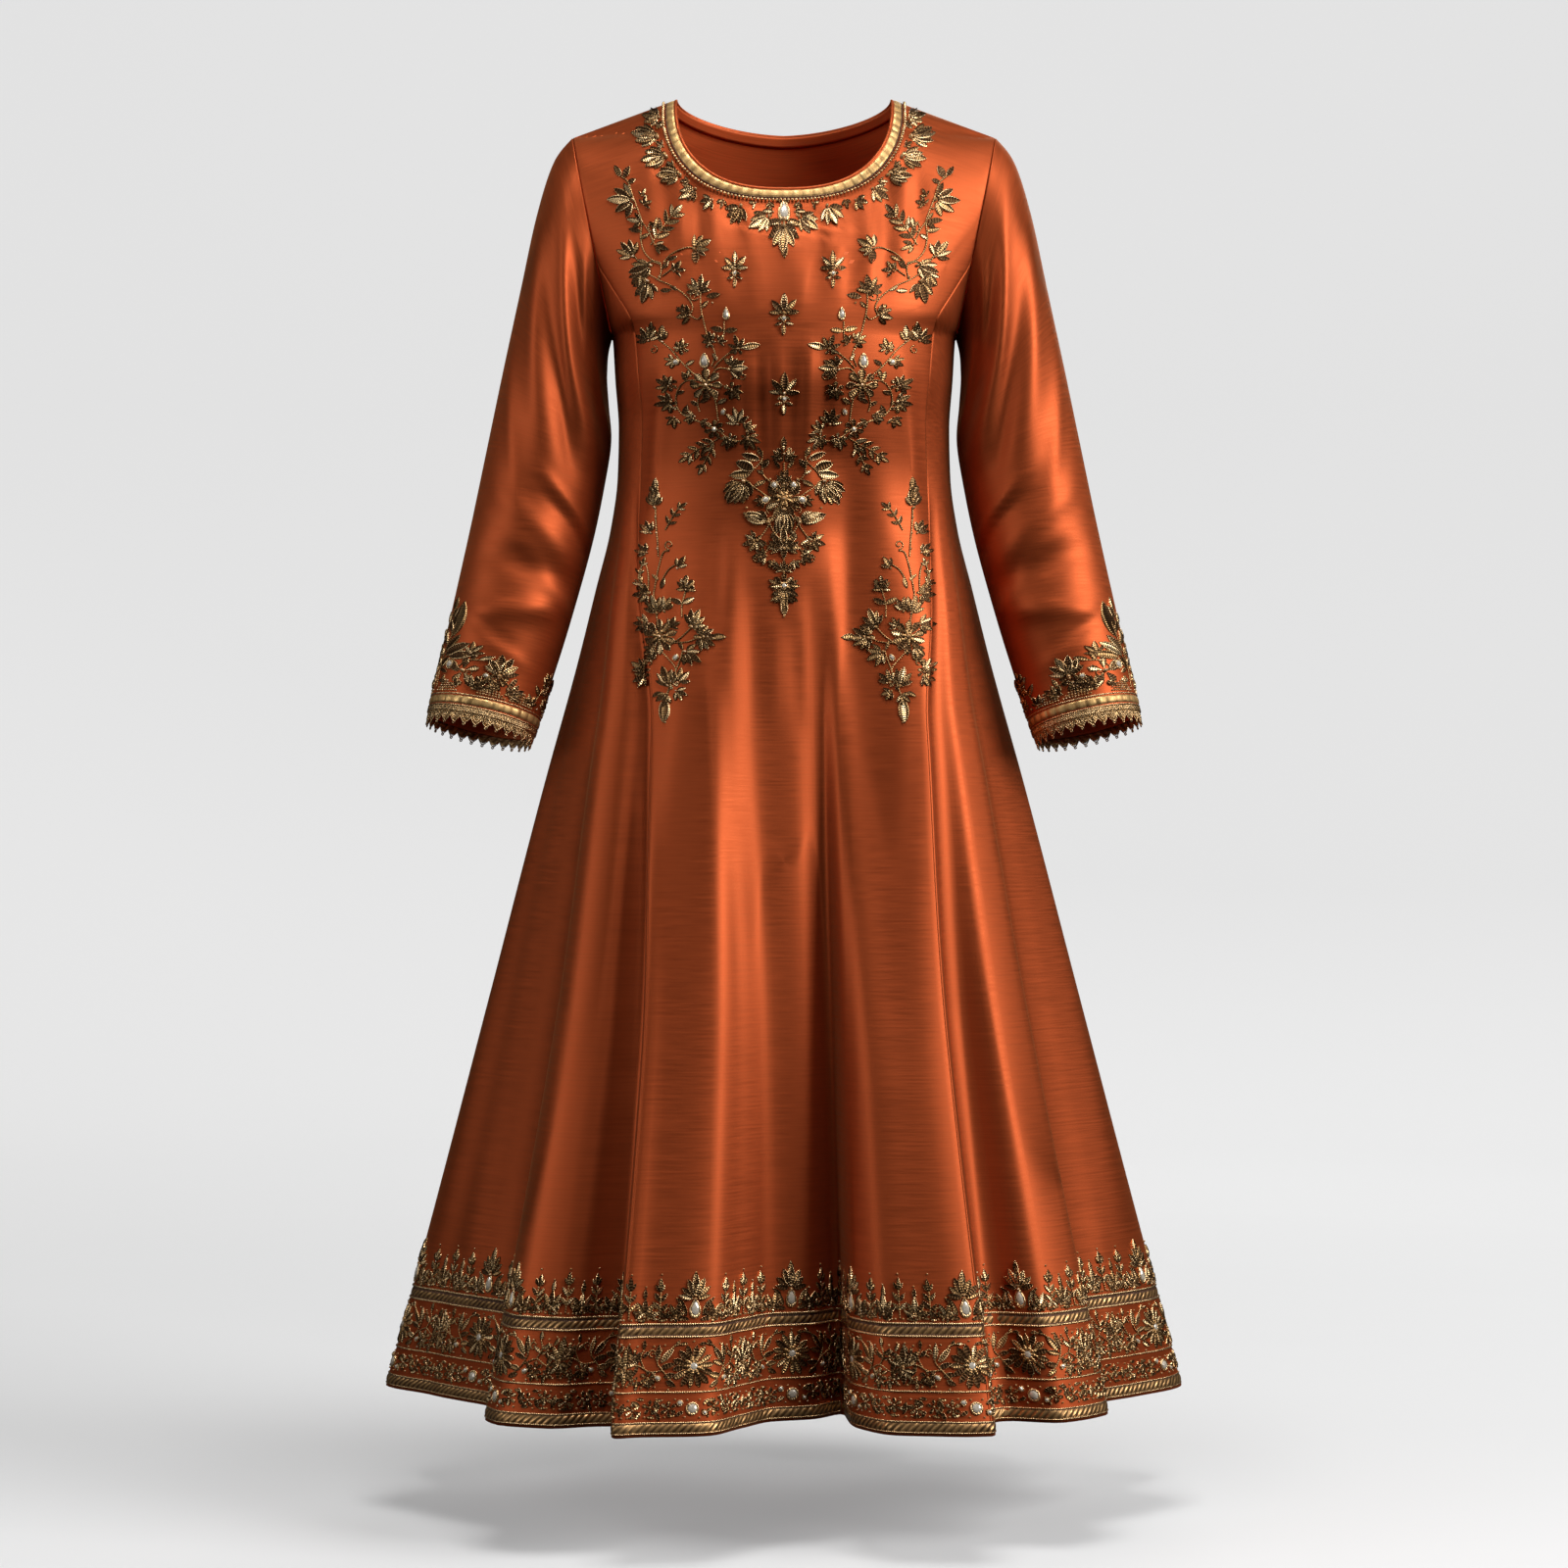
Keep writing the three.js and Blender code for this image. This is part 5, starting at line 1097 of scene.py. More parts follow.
def front_cloth():
    """Carries a place of the front view back along the camera's line to the cloth of the front."""
    names = ("silk_front_centre", "silk_front_side_left", "silk_front_side_right")
    meshes = [bpy.data.objects[name].data for name in names]
    points, faces = [], []
    for mesh in meshes:
        faces += [[i + len(points) for i in face.vertices] for face in mesh.polygons]
        points += [v.co.copy() for v in mesh.vertices]
    tree = BVHTree.FromPolygons(points, faces)
    eye = Vector((0, -bpy.context.scene.kurti_studio.distance, VIEW_HEIGHT * MM))
    seen = {}

    def find(across, up):
        key = (round(float(across), 1), round(float(up), 1))
        if key not in seen:
            aim = Vector((key[0] * MM, 0, key[1] * MM)) - eye
            point, out, _, _ = tree.ray_cast(eye, aim.normalized())
            if point is None:
                point, out, _, _ = tree.find_nearest(Vector((key[0] * MM, -0.06, key[1] * MM)))
            seen[key] = (np.array(point) / MM, np.array(out if out.y < 0.2 else -out))
        return seen[key]

    def ground(across, up):
        found = [find(a, u) for a, u in zip(across, up)]
        points, outs = np.array([p for p, _ in found]), np.array([o for _, o in found])
        drift = np.stack([across, up], -1) - np.round(np.stack([across, up], -1), 1)
        return points + np.stack([drift[:, 0], 0 * drift[:, 0], drift[:, 1]], -1), outs

    return ground


def draw(work, chart):
    """Works a chart's stems first, then its leaves, and stones last."""
    for path in chart.get("stems", ()):
        work.stem(path)
    for path, size, pairs in chart.get("sprays", ()):
        work.spray(path, size, pairs)
    for x, y, radius, start, turns in chart.get("curls", ()):
        work.curl(x, y, radius, start, turns)
    for x, y, size, angle, leaves, spread in chart.get("fans", ()):
        work.fan(x, y, size, angle, leaves, spread)
    for x, y, length, angle, *width in chart.get("leaves", ()):
        work.leaf(x, y, length, angle, *width)
    for x, y, radius, petals, *rest in chart.get("blooms", ()):
        inner, heart = rest or (0, "bead")
        work.bloom(x, y, radius, petals, heart, 0, inner)
    for x, y, radius, drop, angle in chart.get("stones", ()):
        work.stone(x, y, radius, drop, angle)
    for x, y, radius in chart.get("beads", ()):
        work.bead(x, y, radius)


def moved(chart, x, y, size=1.0):
    """A chart of fans, leaves and stones at another place and size."""
    scaled = {"fans": [], "leaves": [], "stones": []}
    for u, v, reach, *rest in chart["fans"]:
        scaled["fans"].append((x + u * size, y + v * size, reach * size, *rest))
    for u, v, reach, *rest in chart["leaves"]:
        scaled["leaves"].append((x + u * size, y + v * size, reach * size, *rest))
    for u, v, reach, *rest in chart["stones"]:
        scaled["stones"].append((x + u * size, y + v * size, reach, *rest))
    return scaled


# The border's and cuffs' drawing

# Millimetres along the hem from a flower's middle and up from the hem. A repeat is about 116 mm.
BORDER_REPEAT = 116
FLOWER_OFFSET = -10  # from the middle of the front to the nearest flower
BORDER_FLOWER = {
    "stems": [
        [(18, 42), (26, 50), (30, 60), (27, 68)], [(26, 50), (38, 55), (48, 50), (58, 55)],
        [(38, 55), (42, 63), (40, 70)], [(-18, 44), (-25, 52), (-30, 59), (-26, 69)],
        [(-25, 52), (-36, 51), (-46, 56), (-58, 55)], [(-40, 53), (-44, 62), (-41, 69)],
        [(20, 66), (17, 71), (10, 73)], [(-20, 66), (-17, 71), (-10, 73)],
    ],
    "leaves": [
        (27, 58, 16, -38, 0.34), (29, 59, 14, -8, 0.34), (28, 55, 12, -72, 0.4), (24, 46, 11, -78, 0.5),
        (22, 43, 9, -120, 0.5), (30, 52, 9, 150, 0.4), (-27, 58, 16, 40, 0.34), (-30, 59, 14, 8, 0.34),
        (-27, 54, 12, 75, 0.4), (-24, 47, 11, 80, 0.5), (-22, 44, 9, 118, 0.5), (-31, 52, 9, -150, 0.4),
        (42, 63, 9, 60, 0.45), (41, 60, 9, -50, 0.45), (40, 70, 7, 0, 0.5), (-43, 61, 9, -60, 0.45),
        (-42, 62, 8, 45, 0.45), (-41, 69, 7, 0, 0.5), (48, 50, 10, 20), (48, 50, 9, 160), (-46, 56, 10, -20),
        (-46, 56, 9, -160), (52, 66, 8, 30, 0.45), (-52, 66, 8, -30, 0.45), (11, 73, 6, -90, 0.5),
        (-11, 73, 6, 90, 0.5), (15, 71, 6, -30, 0.5), (-15, 71, 6, 30, 0.5), (33, 40, 7, 80, 0.5),
        (-33, 40, 7, -80, 0.5),
    ],
    "fans": [
        (58, 54, 16, 0, 5, 130), (58, 52, 13, 180, 5, 150), (36, 44, 9, 160, 4, 140),
        (-36, 45, 9, -160, 4, 140), (46, 43, 8, 180, 3, 110), (-46, 44, 8, 180, 3, 110),
    ],
    "blooms": [
        (38, 47, 6, 6), (-37, 46, 6.5, 6), (47, 62, 6, 6), (-49, 63, 6, 6), (50, 44, 5, 5), (-50, 45, 5, 5),
        (58, 53, 6.5, 7),
    ],
    "curls": [(34, 66, 3.6, 180, 1.1), (-34, 66, 3.6, 180, 1.1)],
    "beads": [
        (31, 38, 1), (41, 38.5, 1), (46, 37.5, 0.9), (-31, 39, 1), (-42, 38.5, 1), (-47, 37.5, 0.9),
        (54, 40, 1), (-54, 40, 1), (33, 70, 1), (-33, 71, 1), (24, 72, 0.9), (-24, 72, 0.9), (20, 37, 1),
        (-20, 37, 1), (0, 75, 0.9), (47, 71, 1), (-47, 71, 1), (54, 73, 0.9), (-54, 73, 0.9),
    ],
    "stones": [(29, 45, 1.8, 0.4, 60), (-29, 46, 1.8, 0.4, -60)],
}
BORDER_FOOT = {
    "stones": [(0, 22, 3.9, 0, 0), (-10, 26.5, 1.9, 0, 0), (10, 18.5, 1.5, 0, 0)],
    "blooms": [
        (18, 23, 6.5, 6), (35, 22, 6, 5), (49, 24, 6, 6), (-19, 22, 6.5, 6), (-34, 23, 6, 5),
        (-48, 21, 6, 6),
    ],
    "leaves": [
        (26, 22, 8, 40, 0.5), (27, 22, 8, 130, 0.5), (28, 25, 7, -20, 0.5), (43, 20, 8, 60, 0.5),
        (42, 23, 7, 160, 0.5), (56, 19, 8, 20, 0.5), (57, 23, 7, 100, 0.5), (9, 25, 7, 50, 0.5),
        (8, 21, 7, 130, 0.5), (-26, 22, 8, -40, 0.5), (-27, 22, 8, -130, 0.5), (-28, 19, 7, 160, 0.5),
        (-42, 24, 8, -60, 0.5), (-41, 20, 7, -150, 0.5), (-56, 24, 8, -160, 0.5), (-57, 21, 7, -80, 0.5),
        (-7, 20, 7, -120, 0.5), (12, 28, 6, 80, 0.5), (-14, 17, 6, -100, 0.5), (22, 30, 6, 110, 0.45),
        (38, 29, 6, 80, 0.45), (-24, 29, 6, -100, 0.45), (-39, 29, 6, -80, 0.45), (30, 16, 6, 80, 0.45),
        (-30, 15, 6, -80, 0.45), (45, 16, 6, 90, 0.45), (-45, 15.5, 6, -90, 0.45),
    ],
    "beads": [
        (6, 29, 0.9), (-4, 29, 0.9), (6, 15, 0.9), (-6, 15.5, 0.9), (13, 15.5, 0.9), (23, 16, 0.9),
        (26, 29, 0.9), (33, 30, 0.9), (40, 15.5, 0.9), (45, 30, 0.9), (52, 16, 0.9), (54, 30, 0.9),
        (-14, 29.5, 0.9), (-22, 15.5, 0.9), (-29, 29.5, 0.9), (-38, 15.5, 0.9), (-44, 29.5, 0.9),
        (-52, 29, 0.9), (-52, 15.5, 0.9), (30, 23, 0.9), (-30, 22, 0.9), (58, 15.5, 0.9),
    ],
}
BORDER_CREST = {
    "stones": [(0, 101, 4.3, 0.75, 0)],
    "fans": [
        (0, 108, 20, 0, 7, 150), (0, 111, 13, 0, 4, 70), (16, 93, 15, 8, 4, 120), (-16, 93, 15, -8, 4, 120),
        (44, 95, 17, 0, 5, 120), (-43, 94, 16, 0, 5, 130), (30, 112, 12, 5, 3, 60),
        (-30, 113, 12, -5, 3, 60), (58, 114, 12, 0, 3, 60), (24, 92, 10, 45, 3, 100),
        (-24, 92, 10, -45, 3, 100), (51, 92, 10, -50, 3, 90), (-50, 92, 10, 50, 3, 90),
        (36, 93, 9, -50, 3, 90), (-37, 93, 9, 50, 3, 90),
    ],
    "leaves": [
        (0, 118, 13, 0, 0.46), (7, 95, 12, 22, 0.36), (-7, 95, 12, -22, 0.36), (5, 92, 9, 75),
        (-5, 92, 9, -75), (9, 103, 9, 50), (-9, 103, 9, -50), (30, 100, 9, 45), (30, 98, 9, -45),
        (30, 105, 9, 38), (30, 105, 9, -38), (-30, 100, 9, -45), (-30, 98, 9, 45), (-30, 106, 9, 38),
        (-30, 106, 9, -38), (58, 99, 9, 45), (58, 99, 9, -45), (58, 106, 9, 38), (58, 106, 9, -38),
        (44, 109, 9, 0, 0.46), (-43, 108, 9, 0, 0.46),
    ],
    "stems": [
        [(30, 92), (30, 102), (30, 113)], [(-30, 92), (-30, 103), (-30, 114)],
        [(58, 92), (58, 103), (58, 114)],
    ],
    "blooms": [(16, 95, 5.5, 6), (-16, 95, 5.5, 6), (44, 97, 6, 6), (-43, 96, 6, 6)],
    "curls": [
        (23, 99, 3.4, 180, 1.1), (-23, 99, 3.4, 180, 1.1), (51, 99, 3.2, 180, 1.1), (-50, 99, 3.2, 180, 1.1),
    ],
    "beads": [
        (12, 92, 1), (-12, 92, 1), (20, 91.5, 1), (-20, 91.5, 1), (34, 98, 1), (-34, 98, 1), (40, 92, 1),
        (-40, 92, 1), (48, 91.5, 1), (-47, 91.5, 1), (54, 92, 1), (-54, 92, 1), (30, 127, 0.9),
        (-30, 128, 0.9), (44, 119, 0.9), (-43, 118, 0.9), (58, 128, 0.9), (16, 109, 0.9), (-16, 109, 0.9),
    ],
}

# Millimetres round the arm from its outer side towards its front, and up from the cuff's edge
CUFF_FRONT = {
    "stems": [
        [(20, 30), (18, 48), (20, 66), (25, 84), (28, 100)], [(19, 56), (27, 62), (37, 64)],
        [(40, 48), (48, 56), (58, 58)], [(60, 30), (66, 40), (74, 48)], [(76, 46), (84, 40), (92, 34)],
        [(4, 34), (6, 54), (10, 76), (16, 98), (20, 114)],
    ],
    "leaves": [
        (27, 84, 34, 10, 0.44), (22, 68, 22, 40, 0.4), (23, 63, 26, 62), (29, 60, 25, 82, 0.38),
        (31, 57, 17, 135, 0.46), (20, 76, 17, -26), (18, 64, 15, -42, 0.44), (18, 52, 15, -48, 0.44),
        (24, 90, 15, -24), (10, 84, 15, -30), (8, 70, 15, -36), (6, 56, 14, -42), (5, 42, 14, -44, 0.44),
        (15, 100, 14, -20), (12, 80, 13, 30), (8, 62, 13, 34), (19, 50, 14, 50, 0.44), (22, 104, 12, 20),
        (48, 56, 10, -30), (52, 57, 11, 20), (58, 58, 12, 62), (64, 36, 12, 40), (62, 32, 12, 92),
        (30, 44, 10, -60), (86, 38, 10, 20), (90, 34, 10, 60), (20, 112, 12, 6, 0.44), (6, 46, 12, 30, 0.4),
    ],
    "fans": [
        (50, 64, 15, 20, 4, 120), (76, 46, 22, 5, 6, 130), (74, 40, 13, 200, 4, 120),
        (58, 30, 15, 20, 5, 130), (88, 30, 14, 40, 4, 120), (66, 54, 12, 60, 4, 110), (28, 33, 9, 0, 3, 70),
        (2, 30, 14, -10, 4, 110), (44, 30, 10, -10, 3, 90),
    ],
    "blooms": [(47, 46, 13, 5), (60, 36, 6.5, 6), (76, 44, 8, 8), (90, 34, 6.5, 6), (6, 40, 7, 7)],
    "curls": [(32, 54, 4, 60, 1.1), (84, 52, 4, 180, 1.1), (52, 44, 3.6, 0, 1.1)],
    "stones": [(32, 52, 3.2, 0.2, 0), (66, 44, 1.8, 0, 0)],
    "beads": [
        (46, 36, 1), (50, 38, 1), (70, 30, 1), (80, 28, 1), (96, 28, 1), (70, 58, 1), (56, 64, 1),
        (34, 30, 1), (12, 28, 1), (98, 36, 1),
    ],
}
CUFF_BACK = {
    "stems": [
        [(112, 30), (116, 42), (124, 52)], [(148, 30), (144, 42), (140, 50)],
        [(172, 30), (180, 40), (190, 46)], [(212, 30), (216, 44), (222, 56)],
    ],
    "leaves": [
        (116, 40, 11, -40), (117, 42, 11, 60), (145, 40, 11, 40), (144, 42, 11, -60), (178, 38, 11, -30),
        (182, 42, 11, 70), (214, 38, 12, -50), (216, 44, 12, 50), (236, 40, 12, -40), (244, 46, 12, 30),
        (160, 28, 9, 0, 0.45), (200, 30, 10, 0, 0.45),
    ],
    "fans": [
        (124, 50, 17, 10, 5, 120), (141, 49, 14, -10, 5, 120), (190, 46, 16, 10, 5, 130),
        (222, 56, 18, 5, 5, 120), (240, 34, 17, 0, 5, 130), (130, 30, 13, 0, 5, 130),
        (162, 34, 14, 0, 5, 130), (204, 32, 13, 0, 5, 130), (108, 28, 12, 0, 4, 120),
        (228, 30, 12, 0, 4, 120), (254, 30, 13, 0, 4, 120),
    ],
    "blooms": [(124, 48, 6.5, 6), (162, 36, 7, 7), (190, 44, 6.5, 6), (222, 54, 7, 7), (240, 36, 6.5, 6)],
    "stones": [(134, 40, 1.9, 0, 0), (176, 30, 1.8, 0, 0), (212, 46, 1.9, 0, 0)],
    "beads": [
        (104, 34, 1), (118, 28, 1), (140, 28, 1), (152, 28, 1), (170, 44, 1), (184, 28, 1), (196, 28, 1),
        (218, 28, 1), (234, 46, 1), (248, 28, 1),
    ],
}
CUFF_PITCH = 0.75  # millimetres to a degree round the cuff
CUFF_RIBBON = (24, 7.5)  # upper and lower edge of the ribbon above the cuff's edge


def bead_mound(work, x, y, width, height):
    """A low three-sided heap of beads beside a band."""
    rows = int(height / 2.3)
    for i in range(rows):
        half = width / 2 * (1 - i / rows)
        for u in np.arange(-half, half + 0.1, 2.4):
            work.bead(x + u, y + i * 2.3, 1.05, BEAD if (i + int(u)) % 3 else BRIGHT)


def hem_cloth():
    """Carries a distance along the hem and a height above it to the skirt."""
    lanes = ring_lanes(6000)
    edge = body(lanes, HEM_Z + 50)
    length = distances(np.vstack([edge, edge[:1]]))
    total = length[-1]
    start = np.interp(0, np.append(lanes, 180), length) - FLOWER_OFFSET

    def ground(across, up):
        lane = np.interp((across + start) % total, length, np.append(lanes, 180))
        lane = np.clip(lane, -179.999, 179.999)
        z = HEM_Z + up
        return body(lane, z), skirt_out(lane, z)

    return ground, total


def cuff_cloth(side):
    """Carries a distance round the arm and a height above the cuff's edge to a sleeve."""
    def surface(share, angle):
        return sleeve(side, share, angle)

    def ground(across, up):
        share, angle = 1 - up / SLEEVE_LENGTH, across / CUFF_PITCH
        point = surface(share, angle)
        middle = (point + surface(share, angle + 180)) / 2
        return point, surface_out(surface, share, angle, *SLEEVE_STEPS, point - middle)

    return ground


# Sizes and colours a user may change


class KurtiCut(bpy.types.PropertyGroup):
    """Sizes of the cloth"""
    cloth: FloatProperty(
        name="Cloth", description="Thickness of the silk", default=0.0009, min=0.0004, max=0.0016,
        unit="LENGTH")
    columns_per_gore: IntProperty(
        name="Columns", description="Mesh columns for each column of the solid", default=3, min=1, max=6)
    row_height: FloatProperty(
        name="Row Height", description="Height of a mesh row in millimetres", default=7.5, min=3.0,
        max=20.0)


class KurtiLook(bpy.types.PropertyGroup):
    """Colour and lustre of the silk"""
    colour: FloatVectorProperty(
        name="Silk", description="Colour of the silk", subtype="COLOR", size=3,
        default=(0.38, 0.067, 0.0175), min=0, max=1)
    lustre: FloatProperty(
        name="Lustre", description="How metallic the silk's sheen is", subtype="FACTOR", default=0.72,
        min=0, max=1)
    roughness: FloatProperty(
        name="Roughness", description="How broad the silk's highlights are", subtype="FACTOR",
        default=0.47, min=0.1, max=1)
    slub: FloatProperty(
        name="Slub", description="How far the thick yarns stand out", subtype="FACTOR", default=0.14,
        min=0, max=1)


class KurtiThreads(bpy.types.PropertyGroup):
    """Colours of the metal threads"""
    antique: FloatVectorProperty(
        name="Antique Thread", description="Colour of the leaves' wound thread", subtype="COLOR", size=3,
        default=(0.7, 0.4, 0.16), min=0, max=1)
    bright: FloatVectorProperty(
        name="Bright Thread", description="Colour of the cords and ribbons", subtype="COLOR", size=3,
        default=(0.98, 0.66, 0.33), min=0, max=1)
    ribbon_fold: FloatProperty(
        name="Ribbon Fold", description="Spacing of the ribbon's cross folds in millimetres", default=9.0,
        min=4.0, max=20.0)


class KurtiStudio(bpy.types.PropertyGroup):
    """Camera, lights and floor"""
    distance: FloatProperty(
        name="Camera Distance", description="From the camera to the middle of the dress", unit="LENGTH",
        default=3.44, min=1, max=10)
    lens: FloatProperty(
        name="Lens", description="Focal length in millimetres", default=88.97, min=20, max=200)
    floor: FloatProperty(
        name="Floor", description="Height of the floor", unit="LENGTH", default=-1.246, min=-2, max=-1.14)
    paper: FloatVectorProperty(
        name="Backdrop", description="Colour of floor and backdrop", subtype="COLOR", size=3,
        default=(0.53, 0.53, 0.53), min=0, max=1)


# Operators

VIEW_HEIGHT, AIR_LIGHT = -607, 0.035
# name, place and aim in metres, size, watts
LIGHTS = [
    ("key_light", (3.35, -1.9, 1.3), (0, 0, -0.65), (2.2, 2.0), 168),
    ("fill_light", (-2.9, -1.4, 0.3), (0, 0, -0.75), (1.6, 2.0), 25),
    ("top_light", (0.1, -0.85, 2.1), (0, 0, -1.0), (1.2, 1.2), 56),
    ("backdrop_light", (0, 2.2, 2.6), (0, 4.6, -0.4), (3.0, 1.0), 11),
    ("back_light", (0.8, 3.0, 1.1), (0, 0, -0.7), (1.8, 1.8), 22),
]


class KURTI_OT_stage(bpy.types.Operator):
    """Sets up the camera, the soft studio lights and the pale floor"""
    bl_idname = "kurti.stage"
    bl_label = "Stage"

    def execute(self, context):
        studio = context.scene.kurti_studio
        camera = bpy.data.objects.new("view_camera", bpy.data.cameras.new("view_camera"))
        camera.data.lens, camera.data.sensor_width = studio.lens, 36
        camera.location = (0, -studio.distance, VIEW_HEIGHT * MM)
        camera.rotation_euler = (np.pi / 2, 0, 0)
        context.scene.collection.objects.link(camera)
        context.scene.camera = camera
        for name, place, aim, size, power in LIGHTS:
            lamp = bpy.data.lights.new(name, "AREA")
            lamp.shape, lamp.size, lamp.size_y, lamp.energy = "RECTANGLE", *size, power
            light = bpy.data.objects.new(name, lamp)
            light.location = place
            light.rotation_euler = (Vector(aim) - Vector(place)).to_track_quat("-Z", "Y").to_euler()
            context.scene.collection.objects.link(light)
        world = bpy.data.worlds.new("studio_air")
        context.scene.world = world
        world.use_nodes = True
        world.node_tree.nodes["Background"].inputs["Color"].default_value = (1, 1, 1, 1)
        world.node_tree.nodes["Background"].inputs["Strength"].default_value = AIR_LIGHT
        context.scene.view_settings.view_transform = "Standard"
        self.lay_floor(studio)
        return {"FINISHED"}

    def lay_floor(self, studio):
        """A round sweep: the floor bends up into a wall far out round the dress."""
        flat, bend_radius, wall_top = 3.2, 1.4, 6.0
        bend = np.linspace(0, np.pi / 2, 14)
        reach = [0.0002, 1.0, 2.0, *(flat + bend_radius * np.sin(bend)), flat + bend_radius]
        height = [0, 0, 0, *(bend_radius * (1 - np.cos(bend))), wall_top]
        turn = np.linspace(0, 2 * np.pi, 96, endpoint=False)
        points = np.array([[(r * np.cos(a), r * np.sin(a), studio.floor + z) for a in turn]
                           for r, z in zip(reach, height)])
        sweep = mesh_object("studio_sweep", points.reshape(-1, 3) / MM,
                            grid_faces(len(reach), len(turn), loop=True),
                            np.zeros((points.size // 3, 2)), [floor_finish(studio)])
        sweep.visible_diffuse = sweep.visible_glossy = False


# lanes from and to, columns of the solid, width and length as cut, cut area in square metres
GORES = {
    "front_centre": (-17.5, 23.3, 24, (0.46, 1.16), 0.34),
    "front_side_left": (23.3, 90, 15, (0.36, 1.02), 0.21),
    "back_side_left": (90, 150, 13, (0.34, 1.02), 0.19),
    "back_centre": (150, 210, 18, (0.44, 1.17), 0.35),
    "back_side_right": (-150, -90, 13, (0.34, 1.02), 0.19),
    "front_side_right": (-90, -17.5, 15, (0.36, 1.02), 0.21),
}


class KURTI_OT_body_panels(bpy.types.Operator):
    """Cuts the six panels of the body and hangs each as a thin sheet of silk on its solid"""
    bl_idname = "kurti.body_panels"
    bl_label = "Body Panels"

    def execute(self, context):
        cut = context.scene.kurti_cut
        for name, (start, end, spans, flat, area) in GORES.items():
            make = centre_grid if name.endswith("centre") else side_grid
            grid, columns = make(name.startswith("front"), spans, even_lanes(start, end, spans), cut)
            out = grid_out(grid, grid * [0, 0, 1])
            grid = seam_dip(grid, out, columns, spans)
            piece = cloth_shell("silk_" + name, grid, out, cut.cloth / MM, grid_uv(grid),
                                finish("rust_dupion_silk"))
            hang(piece, "silk", name)
        return {"FINISHED"}


class KURTI_OT_sleeves(bpy.types.Operator):
    """Sets in the two long sleeves with their drag folds and elbow creases"""
    bl_idname = "kurti.sleeves"
    bl_label = "Sleeves"

    def execute(self, context):
        cut = context.scene.kurti_cut
        share = np.unique(np.concatenate([[0, 0.003, 0.007, 0.013, 0.02], np.linspace(0, 1, 98)]))[:, None]
        angle = np.arange(88)[None, :] * 360 / 88
        for name, side in (("left", 1), ("right", -1)):
            grid = sleeve(side, share, angle)
            middle = grid.mean(1, keepdims=True)
            wide = np.concatenate([grid[:, -1:], grid, grid[:, :1]], 1)
            out = grid_out(wide, middle)[:, 1:-1]
            plane = unit(np.array([side * (TIP_Z - ARMPIT_Z), 0, ARMPIT_X - TIP_X]))
            grid = grid + plane * 0.4 * (1 - share[..., None])
            ease = np.exp(-((share / 0.005) ** 2))[..., None]
            in_plane = unit(out - plane * (out * plane).sum(-1, keepdims=True))
            out = unit(mix(out, in_plane, ease))
            grid = grid - out * 1.2 * ease
            piece = cloth_shell("silk_sleeve_" + name, grid, out, cut.cloth / MM, grid_uv(grid),
                                finish("rust_dupion_silk"), loop=True)
            hang(piece, "silk", "sleeve_" + name)
        return {"FINISHED"}


def neck_ring(distance, count_front=300, count_back=210):
    """Points and outward directions round the neck at a distance from its edge."""
    places = []
    for front, turns in ((True, np.linspace(-90, 90, count_front, endpoint=False)),
                         (False, np.linspace(90, -90, count_back, endpoint=False))):
        def surface(turn, way):
            x, z = neckline(turn, front, way)
            return on_yoke(x, z, front)

        inner = np.clip(turns, -89, 89)
        toward = np.array([0, -1 if front else 1, 1.2])
        out = surface_out(surface, inner, np.full_like(inner, distance), 0.4, 0.2, toward)
        ease = np.clip((np.abs(turns) - 78) / 11, 0, 1)[:, None]
        out = unit(mix(out, np.array([0, 0, 1.0]), ease * ease * (3 - 2 * ease)))
        places.append((surface(turns, distance), out))
    return np.concatenate([p for p, _ in places]), np.concatenate([o for _, o in places])


def bead_row(name, line, out, pitch, radius, material, slot):
    """Small beads threaded along a closed line of points in mm."""
    ring = np.vstack([line, line[:1]])
    run = distances(ring)
    count = int(run[-1] / pitch)
    at = (np.arange(count) + 0.5) * run[-1] / count
    outs = np.vstack([out, out[:1]])
    centre = np.stack([np.interp(at, run, ring[:, k]) for k in range(3)], -1)
    up = unit(np.stack([np.interp(at, run, outs[:, k]) for k in range(3)], -1))
    ahead = unit(np.roll(centre, -1, 0) - centre)
    side = np.cross(ahead, up)
    a = np.arange(6) * np.pi / 3
    rings = [(0.55, -0.8), (1, 0), (0.62, 0.78), (0.1, 1)]
    points, faces = [], []
    for r, h in rings:
        points.append(centre[:, None] + up[:, None] * h * radius
                      + r * radius * (ahead[:, None] * np.cos(a)[None, :, None]
                                      + side[:, None] * np.sin(a)[None, :, None]))
    points = np.stack(points, 1)
    for k in range(count):
        faces.append(grid_faces(4, 6, k * 24, loop=True, flip=True))
    around = (a * radius)[None, None, :] + np.zeros((1, 4, 1))
    uv = np.stack(np.broadcast_arrays(at[:, None, None], around), -1)
    return hang(mesh_object(name, points.reshape(-1, 3), np.concatenate(faces), uv.reshape(-1, 2) * MM,
                            [finish(material)]), slot)


